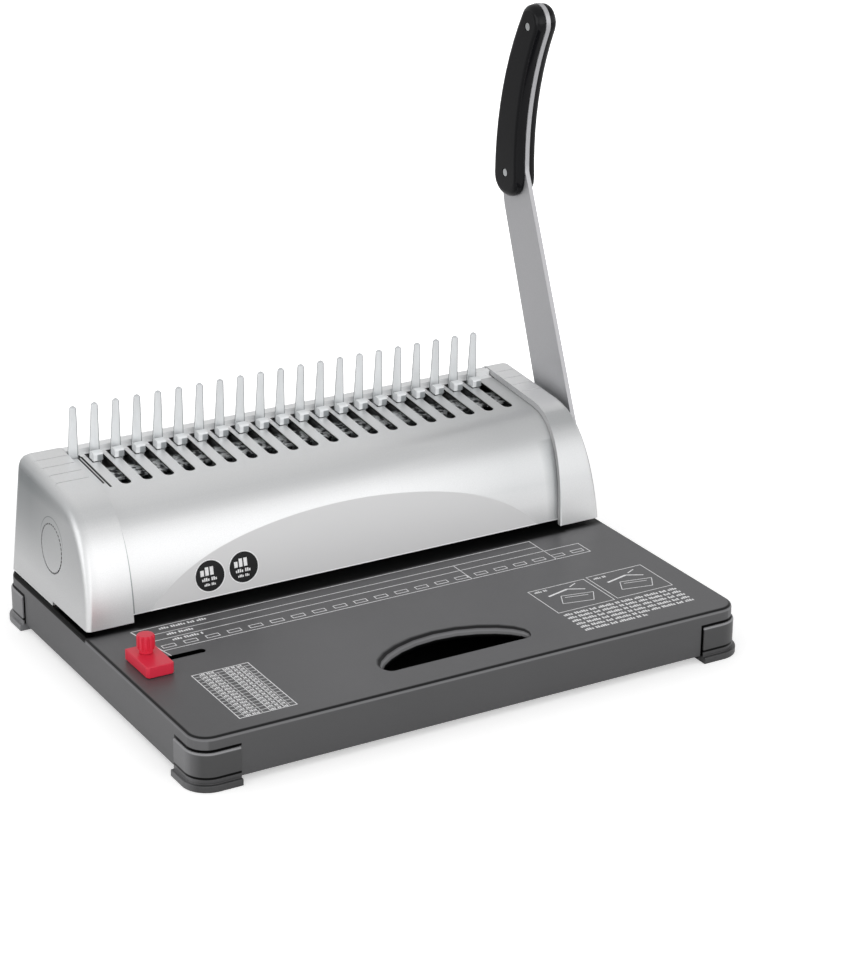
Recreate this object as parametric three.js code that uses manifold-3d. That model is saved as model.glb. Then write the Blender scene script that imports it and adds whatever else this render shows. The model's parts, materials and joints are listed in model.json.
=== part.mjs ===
// Desk machine that punches 21 slots in paper and opens plastic comb spines.
// Millimetres. +X right, +Y back, +Z up. Before the last lines the origin lies on the
// table, in the middle of the base's width, under the front edge of the base.

import * as THREE from 'three';
import { mergeVertices } from 'three/addons/utils/BufferGeometryUtils.js';
import Module from 'manifold-3d';

const wasm = await Module();
wasm.setup();

// Shared clearances and shop sizes
const fit = 0.3;
const runningFit = 0.6;
const overrun = 5;
const radian = Math.PI / 180;

// Base
const baseWidth = 366.5;
const baseDepth = 271.5;
const baseTop = 32.5;
const baseUnderside = 4.5;
const baseCornerRadius = 12.5;
const baseEdgeRadius = 2.6;
const baseWall = 2.5;
const panThickness = 1.2;

// Corner feet
const footLeg = 27;
const footTop = 23.3;
const footProud = 1.5;
const soleProud = 3.5;
const soleTop = baseUnderside - fit;
const footEdgeRadius = 1.2;

// Hand grip in the base
const gripHoleWidth = 98;
const gripHoleFrontWidth = 91;
const gripHoleDepth = 30.6;
const gripHoleFrontY = 23.7;
const gripHoleX = 0.5;
const gripRollWidth = 7;
const gripRollDrop = 5.5;
const gripRimWall = 2;

// Row of 21 punches, fingers and hooks
const stations = 21;
const pitch = 14.2875;
const firstStationX = -144;

// Silver housing, measured on the proud end caps
const housingFrontY = 151.4;
const housingBackY = 268;
const housingLean = 3.9;
const housingShoulderY = 195.6;
const housingShoulderZ = 105.9;
const housingBulgeZ = 71.1;
const housingTopZ = 111.15;
const housingBackRadius = 8;
const capEdgeZ = 35.5;
const capStepY = 203.5;
const housingLowShare = 0.045;
const housingHighShare = 0.34;
const housingDropShare = 0.06;
const capInnerX = 150.8;
const capOuterX = 181.2;
const capDraft = 4.6;
const capLeanLeft = -1.6;
const capLeanRight = 6.6;
const capLeanPower = 1.5;
const capEdgeLow = 3;
const capEdgeHigh = 8;
const capProud = 3.7;
const capWall = capProud - fit;
const coverWall = 1.3;
const coverEdgeZ = 38.5;
const coverReach = 19;
const ledgeY = 251.5;
const ledgeInset = 0.4;
const ledgeTuck = 6;
const ledgeRecessX = 153.8;
const ledgeRecessY = 257;
const ledgeRecessRadius = 3.3;
const ledgeRecessDepth = 0.8;
const ringY = 206;
const ringZ = 69;
const ringRadius = 15.8;
const ringWidth = 0.9;
const ringDepth = 0.8;
const capLineCount = 4;
const capLineStep = 11;
const capLineFirstY = 212.8;
const capLineWidth = 0.9;
const capLineDepth = 0.6;
const capLineMargin = 0.8;

// Deck slots and fingers
const fingerY = 248.2;
const fingerTopZ = 140.3;
const fingerFootLeft = 4.4;
const fingerTipLeft = 2;
const fingerRight = 2.2;
const fingerThickness = 1.8;
const combStripTop = 99.2;
const combStripBottom = 84;
const slotLeft = 2.8;
const slotRight = 3.9;
const slotBack = 2.2;
const slotFront = 46;
const slotWideLeft = 7.2;
const slotWideFront = 11.2;
const firstSlotWidth = 0.9;
const firstSlotRib = 0.7;
const firstSlotShort = 6;

// Sliding hooks
const hookTravel = 26;
const hookHeight = 5.6;
const hookLeft = 6.6;
const hookRight = 0.2;
const hookFront = 11.2;
const hookDepth = 6.2;
const hookRound = 1.6;
const hookStemWidth = 2;
const hookStemFront = 9.4;
const hookStemDepth = 6.4;
const hookLift = 0.4;
const hookPlateThickness = 1.5;
const hookPlateDrop = 4.1;
const hookPlateFront = 30;
const hookPlateBack = 1.7;

// Lever shaft and what turns on it
const shaftY = 200.5;
const shaftZ = 70;
const shaftRadius = 5.5;
const shaftStub = 4;
const bushWall = 3;
const bushFlange = 3;
const bushFlangeWidth = 1.5;
const leverPunchSweep = 90 * radian;
const leverCombSweep = 50 * radian;
const crankRadius = hookTravel / (2 * Math.sin(leverCombSweep / 2));
const crankGap = 7;
const crankHubRadius = 11;
const crankThickness = 6;
const crankArmWidth = 11;
const crankPinRadius = 2.8;
const crankPinPlay = 0.5;
const dogBore = 7;
const dogHeight = 3;
const dogSector = 60 * radian;
const dogPlay = 3 * radian;
const dogCollarWidth = 4.5;

// Forked arm between the hook plate and the crank pin
const forkGap = 3;
const forkThickness = 2;
const forkProng = 4;
const forkPinRoom = 3.5;
const forkFloorGap = 3.5;
const forkStripWidth = 10;
const forkStripGap = 3;
const forkShaftGap = 7;

// Side frames
const frameThickness = 3;
const frameLeftX = -153;
const frameRightX = 150;
const frameFrontY = 178;
const frameNoseZ = 84;
const frameShoulderY = 186;
const frameBackY = 251.6;
const frameFlangeFrontY = 232;
const frameFlangeWidth = 14;
const frameFlangeThickness = 2;
const tieRodRadius = 3.2;
const tieRodY = 186;
const tieRodZ = 88.5;

// Paper slot, die and punches
const punchY = 199;
const punchWidth = 8;
const punchThickness = 3;
const punchTravel = 9;
const punchTipRise = 0.8;
const punchNotch = 1.2;
const dieThickness = 5;
const dieFrontY = 187;
const dieBackY = 218;
const throatHeight = 4.6;
const guideThickness = 6;
const guideFrontY = 191;
const guideBackY = 213;
const paperStopY = 203.5;
const paperStopBackY = 211;
const punchBarThickness = 8;
const punchBarDepth = 14;
const punchBarPlay = 0.5;
const tongueDepth = 7;
const tongueHeight = 6;

// Cams and springs
const camWidth = 8;
const camInset = 26;
const camHubWall = 3.4;
const camHeel = 35 * radian;
const springInset = 52;
const springRadius = 3.4;
const springWire = 1;
const springTurns = 7;
const springLugWidth = 9;
const springLugDepth = 10;
const hookSpringTurns = 8;
const hookSpringRadius = 2.6;
const hookSpringX = -96;
const hookSpringDrop = 11;
const hookSpringTab = 1.8;
const hookSpringTabY = 25;

// Lever
const leverLean = 21.3 * radian;
const leverFootWidth = 40;
const leverNeckWidth = 34;
const leverNeckLength = 163;
const leverNeckFront = 7;
const neckBlendShare = 0.05;
const leverThickness = 3;
const leverGap = 1;
const gripFootY = 265.9;
const gripFootZ = 238;
const gripHeel = 17.5;
const gripStartLean = 2 * radian;
const gripSweep = 31 * radian;
const gripBend = 205;
const gripFootWidth = 31.6;
const gripTipWidth = 23.6;
const gripShellThickness = 6;
const gripShellRound = 4.4;
const gripShellInset = 0.4;
const gripScrewRadius = 1.6;
const gripScrewHeadRadius = 2.6;
const gripScrewHeadHeight = 1.8;
const gripScrewReach = 4;
const capNutRadius = 9;
const capNutHeight = 6;
const capNutShares = [[1, 0], [1, 0.5], [0.86, 0.82], [0.55, 1], [0, 1]];

// Edge guide
const guideSlotInset = 15.25;
const guideSlotLength = 40.4;
const guideSlotY = 102.8;
const guideSlotWidth = 5.4;
const edgeGuideHeight = 7;
const edgeGuideWidth = 17.4;
const edgeGuideDepth = 30.5;
const edgeGuideChamfer = 1.5;
const edgeGuideInset = 9.25;
const edgeGuideFrontY = 82.5;
const edgeGuideEdge = 0.6;
const knobRadius = 5.4;
const knobHeight = 9.2;
const knobNeckRadius = 4.2;
const knobNeckHeight = 2;
const knobEdge = 1.4;
const knobFlutes = 11;
const knobFluteRadius = 0.95;
const studRadius = 1.5;
const clampWidth = 12;
const clampHeight = 4;

// Chip tray
const trayWidth = 290;
const trayDepth = 90;
const trayWall = 1.8;
const trayTop = 26;
const trayPullWidth = 60;
const trayPullHeight = 6;

// Finishes
const materials = {
  silver: { color: 0xc8ccd0, roughness: 0.38, metalness: 0.35 },
  deckSilver: { color: 0xbfc5ca, roughness: 0.42, metalness: 0.35 },
  charcoal: { color: 0x55555a, roughness: 0.62, metalness: 0.05 },
  rubber: { color: 0x454448, roughness: 0.8, metalness: 0 },
  steel: { color: 0x9a9ca0, roughness: 0.35, metalness: 0.9 },
  darkSteel: { color: 0x5c5f63, roughness: 0.4, metalness: 0.85 },
  spring: { color: 0x8d9094, roughness: 0.3, metalness: 0.9 },
  red: { color: 0xdd3549, roughness: 0.45, metalness: 0 },
  black: { color: 0x18181a, roughness: 0.5, metalness: 0 },
  brass: { color: 0xa98b4a, roughness: 0.4, metalness: 0.8 },
};

// Turning a three.js geometry into a solid and back
function toSolid(geometry) {
  const bare = geometry.clone();
  bare.deleteAttribute('normal');
  bare.deleteAttribute('uv');
  const merged = mergeVertices(bare, 1e-4);
  const mesh = new wasm.Mesh({
    numProp: 3,
    vertProperties: new Float32Array(merged.attributes.position.array),
    triVerts: new Uint32Array(merged.index.array),
  });
  return new wasm.Manifold(mesh);
}

function toGeometry(solid) {
  const mesh = solid.getMesh();
  const geometry = new THREE.BufferGeometry();
  geometry.setAttribute('position', new THREE.BufferAttribute(mesh.vertProperties, 3));
  geometry.setIndex(new THREE.BufferAttribute(mesh.triVerts, 1));
  geometry.computeVertexNormals();
  return geometry;
}

// Plain solids by their limits
function box(x0, x1, y0, y1, z0, z1) {
  const geometry = new THREE.BoxGeometry(x1 - x0, y1 - y0, z1 - z0);
  geometry.translate((x0 + x1) / 2, (y0 + y1) / 2, (z0 + z1) / 2);
  return toSolid(geometry);
}

function rodX(radius, x0, x1, y, z, sides = 24) {
  const geometry = new THREE.CylinderGeometry(radius, radius, x1 - x0, sides);
  geometry.rotateZ(Math.PI / 2);
  geometry.translate((x0 + x1) / 2, y, z);
  return toSolid(geometry);
}

function rodZ(radius, x, y, z0, z1, sides = 20) {
  const geometry = new THREE.CylinderGeometry(radius, radius, z1 - z0, sides);
  geometry.rotateX(Math.PI / 2);
  geometry.translate(x, y, (z0 + z1) / 2);
  return toSolid(geometry);
}

// An outline drawn in (x, y) and raised along Z
function raised(shape, z0, z1, options = {}) {
  const settings = { depth: z1 - z0, bevelEnabled: false, curveSegments: 8, ...options };
  const geometry = new THREE.ExtrudeGeometry(shape, settings);
  geometry.translate(0, 0, z0);
  return toSolid(geometry);
}

// An outline drawn in (y, z) and drawn out along X
const sideways = new THREE.Matrix4().makeBasis(
  new THREE.Vector3(0, 1, 0),
  new THREE.Vector3(0, 0, 1),
  new THREE.Vector3(1, 0, 0),
);

function drawnX(shape, x0, x1, options = {}) {
  const settings = { depth: x1 - x0, bevelEnabled: false, curveSegments: 8, ...options };
  const geometry = new THREE.ExtrudeGeometry(shape, settings);
  geometry.applyMatrix4(sideways);
  geometry.translate(x0, 0, 0);
  return toSolid(geometry);
}

function polygon(points) {
  return new THREE.Shape(points.map(([a, b]) => new THREE.Vector2(a, b)));
}

function roundedRect(x0, x1, y0, y1, radius) {
  const shape = new THREE.Shape();
  shape.moveTo(x0 + radius, y0);
  shape.lineTo(x1 - radius, y0);
  shape.absarc(x1 - radius, y0 + radius, radius, -Math.PI / 2, 0);
  shape.lineTo(x1, y1 - radius);
  shape.absarc(x1 - radius, y1 - radius, radius, 0, Math.PI / 2);
  shape.lineTo(x0 + radius, y1);
  shape.absarc(x0 + radius, y1 - radius, radius, Math.PI / 2, Math.PI);
  shape.lineTo(x0, y0 + radius);
  shape.absarc(x0 + radius, y0 + radius, radius, Math.PI, Math.PI * 1.5);
  return shape;
}

// The base's outline, grown or shrunk by one offset
function baseOutline(offset) {
  const halfWidth = baseWidth / 2 + offset;
  return roundedRect(-halfWidth, halfWidth, -offset, baseDepth + offset, baseCornerRadius + offset);
}

// Scene pieces
const machine = new THREE.Group();

function add(name, solid, finish, parent = machine) {
  const mesh = new THREE.Mesh(toGeometry(solid), new THREE.MeshStandardMaterial(materials[finish]));
  mesh.name = name;
  parent.add(mesh);
  return mesh;
}

// Crescent hand grip: straight front edge, bowed back edge
const gripBulgeShare = 0.2;
const gripBowShare = 0.6;

function gripHole(offset) {
  const half = gripHoleWidth / 2 + offset;
  const halfFront = gripHoleFrontWidth / 2 + offset;
  const front = gripHoleFrontY - offset;
  const bow = gripHoleDepth + offset * 2;
  const side = front + bow * gripBulgeShare;
  const shape = new THREE.Shape();
  shape.moveTo(gripHoleX - halfFront, front);
  shape.lineTo(gripHoleX + halfFront, front);
  shape.quadraticCurveTo(gripHoleX + half, front, gripHoleX + half, side);
  shape.bezierCurveTo(
    gripHoleX + half, side + bow * gripBulgeShare,
    gripHoleX + half * gripBowShare, front + bow,
    gripHoleX, front + bow,
  );
  shape.bezierCurveTo(
    gripHoleX - half * gripBowShare, front + bow,
    gripHoleX - half, side + bow * gripBulgeShare,
    gripHoleX - half, side,
  );
  shape.quadraticCurveTo(gripHoleX - half, front, gripHoleX - halfFront, front);
  return shape;
}

function guideSlot(offset) {
  const half = guideSlotWidth / 2 + offset;
  const left = guideSlotInset - baseWidth / 2 - offset;
  const right = left + guideSlotLength + offset * 2;
  return roundedRect(left, right, guideSlotY - half, guideSlotY + half, half);
}

// The hand hole's ring of points; turn 0 is its wall, turn 90 degrees the top of its rolled edge
function gripRing(turn) {
  const spread = gripRollWidth * (1 - Math.cos(turn));
  const z = baseTop - gripRollDrop * (1 - Math.sin(turn));
  return gripHole(0).getPoints(6).slice(0, -1).map((point) => {
    const rise = Math.min(1, (point.y - gripHoleFrontY) / (gripHoleDepth * gripBowShare));
    const wide = 1 + (spread * rise) / (gripHoleWidth / 2);
    const deep = 1 + spread / gripHoleDepth;
    return new THREE.Vector3(
      gripHoleX + (point.x - gripHoleX) * wide,
      gripHoleFrontY + (point.y - gripHoleFrontY) * deep,
      z,
    );
  });
}

// Cutter for the hand hole: straight in front, flared in a quarter round at the sides and back
function gripCutter() {
  const steps = 5;
  const wall = gripRing(0);
  const rings = [wall.map((point) => new THREE.Vector3(point.x, point.y, 0))];
  for (let step = 0; step <= steps; step += 1) {
    rings.push(gripRing((step / steps) * (Math.PI / 2)));
  }
  const top = rings[rings.length - 1];
  rings.push(top.map((point) => new THREE.Vector3(point.x, point.y, baseTop + overrun)));
  return loft(rings, (point) => new THREE.Vector2(point.x, point.y));
}

function makeBaseCover() {
  const bevel = {
    bevelEnabled: true,
    bevelThickness: baseEdgeRadius,
    bevelSize: baseEdgeRadius,
    bevelSegments: 3,
  };
  const block = raised(baseOutline(-baseEdgeRadius), 0, baseTop - baseEdgeRadius, bevel);
  const below = box(-baseWidth, baseWidth, -baseDepth, baseDepth * 2, -baseTop, baseUnderside);
  const hollow = raised(baseOutline(-baseWall), 0, baseTop - baseWall);
  const rim = raised(
    gripHole(gripRollWidth + gripRimWall), baseTop - gripRollDrop, baseTop - baseWall / 2,
  );
  const slot = raised(guideSlot(0), baseTop - overrun, baseTop + overrun);
  const dieOpening = box(
    frameLeftX - frameThickness - fit, frameRightX + frameThickness + fit,
    dieFrontY - fit, frameBackY + fit, baseTop - overrun, baseTop + overrun,
  );
  const trayOpening = box(
    -trayWidth / 2 - runningFit, trayWidth / 2 + runningFit,
    baseDepth - baseWall - overrun, baseDepth + overrun,
    baseUnderside - overrun, trayTop + runningFit,
  );
  const shell = block.subtract(below).subtract(hollow);
  return shell.add(rim)
    .subtract(wasm.Manifold.union([gripCutter(), slot, dieOpening, trayOpening]));
}

function makeBasePan() {
  return raised(baseOutline(-baseWall - fit), baseUnderside, baseUnderside + panThickness);
}

// A foot wraps one corner of the base and carries it on a wider sole
function makeCornerFoot(sideX, sideY) {
  const wrapBevel = {
    bevelEnabled: true,
    bevelThickness: footEdgeRadius,
    bevelSize: footEdgeRadius,
    bevelSegments: 2,
  };
  const wrap = raised(baseOutline(footProud - footEdgeRadius), 0, footTop - footEdgeRadius, wrapBevel);
  const sole = raised(baseOutline(soleProud), 0, soleTop);
  const inside = raised(baseOutline(fit), soleTop, baseTop);
  const cornerX = sideX * (baseWidth / 2);
  const cornerY = sideY > 0 ? baseDepth : 0;
  const inX = cornerX - sideX * footLeg;
  const inY = cornerY - sideY * footLeg;
  const outX = cornerX + sideX * overrun;
  const outY = cornerY + sideY * overrun;
  const corner = box(
    Math.min(inX, outX), Math.max(inX, outX),
    Math.min(inY, outY), Math.max(inY, outY), 0, baseTop,
  );
  return wrap.add(sole).subtract(inside).intersect(corner);
}

// Housing outline in (y, z), offset inwards, from the front edge over the top to the back
function housingPath(inset) {
  const deep = housingShoulderY - housingFrontY;
  const front = new THREE.CubicBezierCurve(
    new THREE.Vector2(housingFrontY, capEdgeZ),
    new THREE.Vector2(housingFrontY + deep * housingLowShare, housingBulgeZ),
    new THREE.Vector2(
      housingFrontY + deep * housingHighShare, housingShoulderZ - deep * housingDropShare,
    ),
    new THREE.Vector2(housingShoulderY, housingShoulderZ),
  );
  const rounding = new THREE.EllipseCurve(
    housingBackY - housingLean - housingBackRadius,
    housingTopZ - housingBackRadius,
    housingBackRadius, housingBackRadius, Math.PI / 2, 0, true,
  );
  const outer = [...front.getPoints(14), ...rounding.getPoints(5)];
  outer.push(new THREE.Vector2(housingBackY, baseTop + fit));
  return outer.map((point, index) => offsetPoint(outer, index, inset));
}

// Moves one point of an open path to its right-hand side, square to its neighbours
function offsetPoint(path, index, inset) {
  const before = path[Math.max(index - 1, 0)];
  const after = path[Math.min(index + 1, path.length - 1)];
  const along = after.clone().sub(before).normalize();
  return new THREE.Vector2(path[index].x + along.y * inset, path[index].y - along.x * inset);
}

// Slides an end point along its last stretch to a given height
function endAt(point, neighbour, z) {
  const share = (z - neighbour.y) / (point.y - neighbour.y);
  return new THREE.Vector2(neighbour.x + (point.x - neighbour.x) * share, z);
}

function endsAt(ring, frontZ, backZ) {
  const last = ring.length - 1;
  ring[0] = endAt(ring[0], ring[1], frontZ);
  ring[last] = endAt(ring[last], ring[last - 1], backZ);
  return ring;
}

// Closes the housing outline downwards; the front part ends higher than the back part
function closedOutline(ring, frontZ, backZ) {
  if (frontZ !== backZ) {
    ring.push(new THREE.Vector2(capStepY, backZ));
    ring.push(new THREE.Vector2(capStepY, frontZ));
  }
  return ring;
}

function housingOutline(inset, frontZ, backZ) {
  return closedOutline(endsAt(housingPath(inset), frontZ, backZ), frontZ, backZ);
}

const deckSlope = Math.atan2(
  housingTopZ - housingShoulderZ,
  housingBackY - housingLean - housingBackRadius - housingShoulderY,
);

// Height of the deck's upper face above the table
function deckAt(y) {
  const drop = capProud / Math.cos(deckSlope);
  return housingShoulderZ - drop + (y - housingShoulderY) * Math.tan(deckSlope);
}

// The plane in which a ring of points is seen along X
function alongX(point) {
  return new THREE.Vector2(point.y, point.z);
}

// Skins a run of equal rings of points; flatten gives the plane of the rings
function loft(rings, flatten = alongX) {
  const outline = rings[0].map(flatten);
  const clockwise = THREE.ShapeUtils.isClockWise(outline);
  const sections = clockwise ? rings.map((ring) => [...ring].reverse()) : rings;
  const count = sections[0].length;
  const positions = sections.flat().flatMap((point) => [point.x, point.y, point.z]);
  const indices = [];
  for (let s = 0; s < sections.length - 1; s += 1) {
    for (let i = 0; i < count; i += 1) {
      const a = s * count + i;
      const b = s * count + ((i + 1) % count);
      indices.push(a, b, a + count, b, b + count, a + count);
    }
  }
  const flat = sections[0].map(flatten);
  THREE.ShapeUtils.triangulateShape(flat, []).forEach(([a, b, c]) => {
    const end = (sections.length - 1) * count;
    indices.push(c, b, a, a + end, b + end, c + end);
  });
  const geometry = new THREE.BufferGeometry();
  geometry.setAttribute('position', new THREE.Float32BufferAttribute(positions, 3));
  geometry.setIndex(indices);
  const solid = toSolid(geometry);
  if (solid.volume() > 0) {
    return solid;
  }
  geometry.setIndex(indices.map((value, place) => indices[place - (place % 3) + (2 - (place % 3))]));
  return toSolid(geometry);
}

function riseAt(z) {
  return Math.max(0, (z - baseTop) / (housingTopZ - baseTop));
}

// How far a cap's inner edge leans away from the middle at a height
function capLean(z, side) {
  return (side > 0 ? capLeanRight : capLeanLeft) * riseAt(z) ** capLeanPower;
}

// Moves a cap's section as it rises: the outer face leans in, the inner edge leans sideways
function draftedX(x, z, side) {
  const share = (x - capInnerX) / (capOuterX - capInnerX);
  return side * (x - capDraft * share * riseAt(z) + capLean(z, side) * (1 - share));
}

function capSection(x, inset, side, frontZ, backZ) {
  return housingOutline(inset, frontZ, backZ).map(
    (point) => new THREE.Vector3(draftedX(x, point.y, side), point.x, point.y),
  );
}

// One section of the cap's rounded outer edge; the edge is sharper at the foot than on top
function capEdgeSection(turn, side, frontZ, backZ) {
  const radiusAt = (z) => capEdgeLow + (capEdgeHigh - capEdgeLow) * riseAt(z);
  const path = housingPath(0);
  const moved = path.map(
    (point, index) => offsetPoint(path, index, radiusAt(point.y) * (1 - Math.cos(turn))),
  );
  return closedOutline(endsAt(moved, frontZ, backZ), frontZ, backZ).map((point) => {
    const x = capOuterX - radiusAt(point.y) * (1 - Math.sin(turn));
    return new THREE.Vector3(draftedX(x, point.y, side), point.x, point.y);
  });
}

// End cap: rounded outer edge, open towards the cover and the base
function makeEndCap(side) {
  const backZ = baseTop + fit;
  const outer = [capSection(capInnerX, 0, side, capEdgeZ, backZ)];
  const roundSteps = 4;
  for (let step = 0; step <= roundSteps; step += 1) {
    outer.push(capEdgeSection((step / roundSteps) * (Math.PI / 2), side, capEdgeZ, backZ));
  }
  const low = baseTop - overrun;
  const hollow = loft([
    capSection(capInnerX - overrun, capWall, side, low, low),
    capSection(capOuterX - capWall, capWall, side, low, low),
  ]);
  return loft(outer).subtract(hollow).subtract(capLines(side));
}

// Fine lines cut across the top of a cap
function capLines(side) {
  const x0 = capInnerX + capLean(housingTopZ, side) + capLineMargin;
  const x1 = capOuterX - capDraft - capEdgeHigh / 2;
  const lines = [];
  for (let i = 0; i < capLineCount; i += 1) {
    const y = capLineFirstY + i * capLineStep;
    const z = deckAt(y) + capProud / Math.cos(deckSlope) - capLineDepth;
    lines.push(box(
      Math.min(side * x0, side * x1), Math.max(side * x0, side * x1),
      y - capLineWidth / 2, y + capLineWidth / 2, z, z + overrun,
    ));
  }
  return wasm.Manifold.union(lines);
}

function makeLeftCap() {
  const outside = -capOuterX - overrun;
  const face = -capOuterX + capDraft * riseAt(ringZ);
  const ring = rodX(ringRadius, outside, face + ringDepth, ringY, ringZ, 40);
  const core = rodX(ringRadius - ringWidth, outside, face + ringDepth, ringY, ringZ, 40);
  return makeEndCap(-1).subtract(ring.subtract(core));
}

function makeRightCap() {
  const bore = rodX(shaftRadius + runningFit, capInnerX, capOuterX + overrun, shaftY, shaftZ);
  return makeEndCap(1).subtract(bore);
}

// One opening in the deck: a long slot under the finger, wider to the left at its back
function deckSlot(x) {
  const front = fingerY - slotFront;
  const back = fingerY + slotBack;
  const wideFront = fingerY - slotWideFront;
  const radius = (slotLeft + slotRight) / 2;
  const middle = x + (slotRight - slotLeft) / 2;
  const shape = new THREE.Shape();
  shape.moveTo(x + slotRight, back);
  shape.lineTo(x - slotWideLeft, back);
  shape.lineTo(x - slotWideLeft, wideFront);
  shape.lineTo(x - slotLeft, wideFront);
  shape.lineTo(x - slotLeft, front + radius);
  shape.absarc(middle, front + radius, radius, Math.PI, Math.PI * 2);
  return shape;
}

// The first finger has no hook: it stands in its own opening, beside two narrow slots
function firstSlots(floor, ceiling) {
  const x = stationX(0);
  const right = x + slotRight;
  const left = right - firstSlotWidth - firstSlotRib;
  const back = fingerY + slotBack;
  return [
    box(x - fingerFootLeft - fit * 2, right, fingerY - slotBack, back, floor, ceiling),
    box(right - firstSlotWidth, right, fingerY - slotFront, back, floor, ceiling),
    box(left - firstSlotWidth, left, fingerY - slotFront + firstSlotShort, back, floor, ceiling),
  ];
}

function stationX(index) {
  return firstStationX + index * pitch;
}

// Height of a face that lies a given distance inside the caps' upper face
function ledgeAt(y, inset) {
  return deckAt(y) + (capProud - inset) / Math.cos(deckSlope);
}

// Cover outline: below the caps' face as far as the ledge, then level with it
function coverOutline(wall, lowFront, lowBack) {
  const rear = housingPath(ledgeInset + wall);
  const front = housingPath(capProud + wall);
  const step = ledgeY + wall;
  const ring = front.filter((point) => point.x < housingBackY - housingLean - housingBackRadius * 2);
  ring.push(new THREE.Vector2(step, deckAt(step) - wall));
  ring.push(new THREE.Vector2(step, ledgeAt(step, ledgeInset + wall)));
  ring.push(...rear.filter((point) => point.x > step));
  return endsAt(ring, lowFront, lowBack);
}

// The room of an end cap, from its inner edge outwards
function capRoom(side) {
  const low = baseTop - overrun;
  return loft([
    capSection(capInnerX - runningFit, -overrun, side, low, low),
    capSection(capOuterX + overrun, -overrun, side, low, low),
  ]);
}

function deckSlots() {
  const floor = deckAt(fingerY - slotFront) - overrun * 2;
  const ceiling = deckAt(fingerY) + overrun;
  const slots = firstSlots(floor, ceiling);
  for (let i = 1; i < stations; i += 1) {
    slots.push(raised(deckSlot(stationX(i)), floor, ceiling, { curveSegments: 5 }));
  }
  return slots;
}

// Main cover: curved front, sloping deck, raised ledge along the back
function makeHousingCover() {
  const reach = capInnerX + coverReach;
  const inner = capProud + coverWall;
  const between = capInnerX - fit;
  const low = baseTop - overrun;
  const back = baseTop + fit;
  const tucked = drawnX(new THREE.Shape(housingOutline(capProud, coverEdgeZ, back)), -reach, reach);
  const open = drawnX(new THREE.Shape(coverOutline(0, coverEdgeZ, back)), -reach, reach);
  const hollow = drawnX(new THREE.Shape(housingOutline(inner, low, low)), -reach - overrun, reach + overrun);
  const hollowOpen = drawnX(
    new THREE.Shape(coverOutline(coverWall, low, low)), -reach - overrun, reach + overrun,
  );
  const capBacks = [-1, 1].map((side) => box(
    Math.min(side * between, side * capOuterX), Math.max(side * between, side * capOuterX),
    ledgeY - ledgeTuck, housingBackY + overrun, low, housingTopZ + overrun,
  ));
  const recessZ = ledgeAt(ledgeRecessY, ledgeInset) - ledgeRecessDepth;
  const recess = rodZ(
    ledgeRecessRadius, ledgeRecessX, ledgeRecessY, recessZ, recessZ + overrun, 16,
  );
  return tucked.subtract(wasm.Manifold.union(capBacks))
    .add(open.subtract(capRoom(-1)).subtract(capRoom(1)))
    .subtract(wasm.Manifold.union([hollow, hollowOpen, recess, ...deckSlots()]));
}

// Side frame in (y, z): nose over the paper slot, leg down beside the die at the back
function frameOutline() {
  const throatTop = baseTop + throatHeight;
  const foot = baseTop - dieThickness;
  const railZ = (y) => deckAt(y) - hookPlateDrop - hookPlateThickness - fit * 2;
  return polygon([
    [frameFrontY, throatTop],
    [paperStopBackY, throatTop],
    [paperStopBackY, foot],
    [frameBackY, foot],
    [frameBackY, railZ(frameShoulderY)],
    [fingerY, railZ(fingerY)],
    [frameShoulderY, railZ(frameShoulderY)],
    [frameFrontY, frameNoseZ],
  ]);
}

const punchBarTop = shaftZ - shaftRadius - camHubWall - fit;
const punchBarBottom = punchBarTop - punchBarThickness;
const punchTipZ = baseTop + throatHeight + punchTipRise;
const springY = punchY - punchBarDepth / 2 - springLugDepth / 2 - fit * 2;

function makeSideFrame(x0, flangeSide) {
  const x1 = x0 + frameThickness;
  const plate = drawnX(frameOutline(), x0, x1);
  const flangeX = flangeSide > 0 ? x1 : x0 - frameFlangeWidth;
  const flange = box(
    flangeX - fit, flangeX + frameFlangeWidth + fit,
    frameFlangeFrontY, frameBackY,
    baseTop + fit, baseTop + fit + frameFlangeThickness,
  );
  const bearing = rodX(shaftRadius + fit + bushWall + fit, x0 - overrun, x1 + overrun, shaftY, shaftZ);
  const half = tongueDepth / 2 + fit;
  const track = box(
    x0 - overrun, x1 + overrun, punchY - half, punchY + half,
    punchBarBottom - punchTravel - punchBarPlay, punchBarTop + fit,
  );
  const rodHole = rodX(tieRodRadius / 2 + fit, x0 - overrun, x1 + overrun, tieRodY, tieRodZ, 16);
  const combHalf = fingerThickness / 2 + fit;
  const combNotch = box(
    x0 - overrun, x1 + overrun, fingerY - combHalf, fingerY + combHalf,
    combStripBottom - fit, housingTopZ,
  );
  return wasm.Manifold.union([plate, flange])
    .subtract(wasm.Manifold.union([bearing, track, rodHole, combNotch]));
}

function makeTieRod() {
  const left = frameLeftX + fit;
  const right = frameRightX - fit;
  const body = rodX(tieRodRadius, left, right, tieRodY, tieRodZ, 16);
  const spigotLeft = frameLeftX - frameThickness;
  const spigotRight = frameRightX + frameThickness;
  return body.add(rodX(tieRodRadius / 2, spigotLeft, spigotRight, tieRodY, tieRodZ, 16));
}

// Rectangular holes in a row, one for each punch
function punchHoles(z0, z1, clearance) {
  const halfWidth = punchWidth / 2 + clearance;
  const halfThickness = punchThickness / 2 + clearance;
  const holes = [];
  for (let i = 0; i < stations; i += 1) {
    const x = stationX(i);
    holes.push(box(x - halfWidth, x + halfWidth, punchY - halfThickness, punchY + halfThickness, z0, z1));
  }
  return wasm.Manifold.union(holes);
}

const railLeft = frameLeftX + fit;
const railRight = frameRightX - fit;

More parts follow.
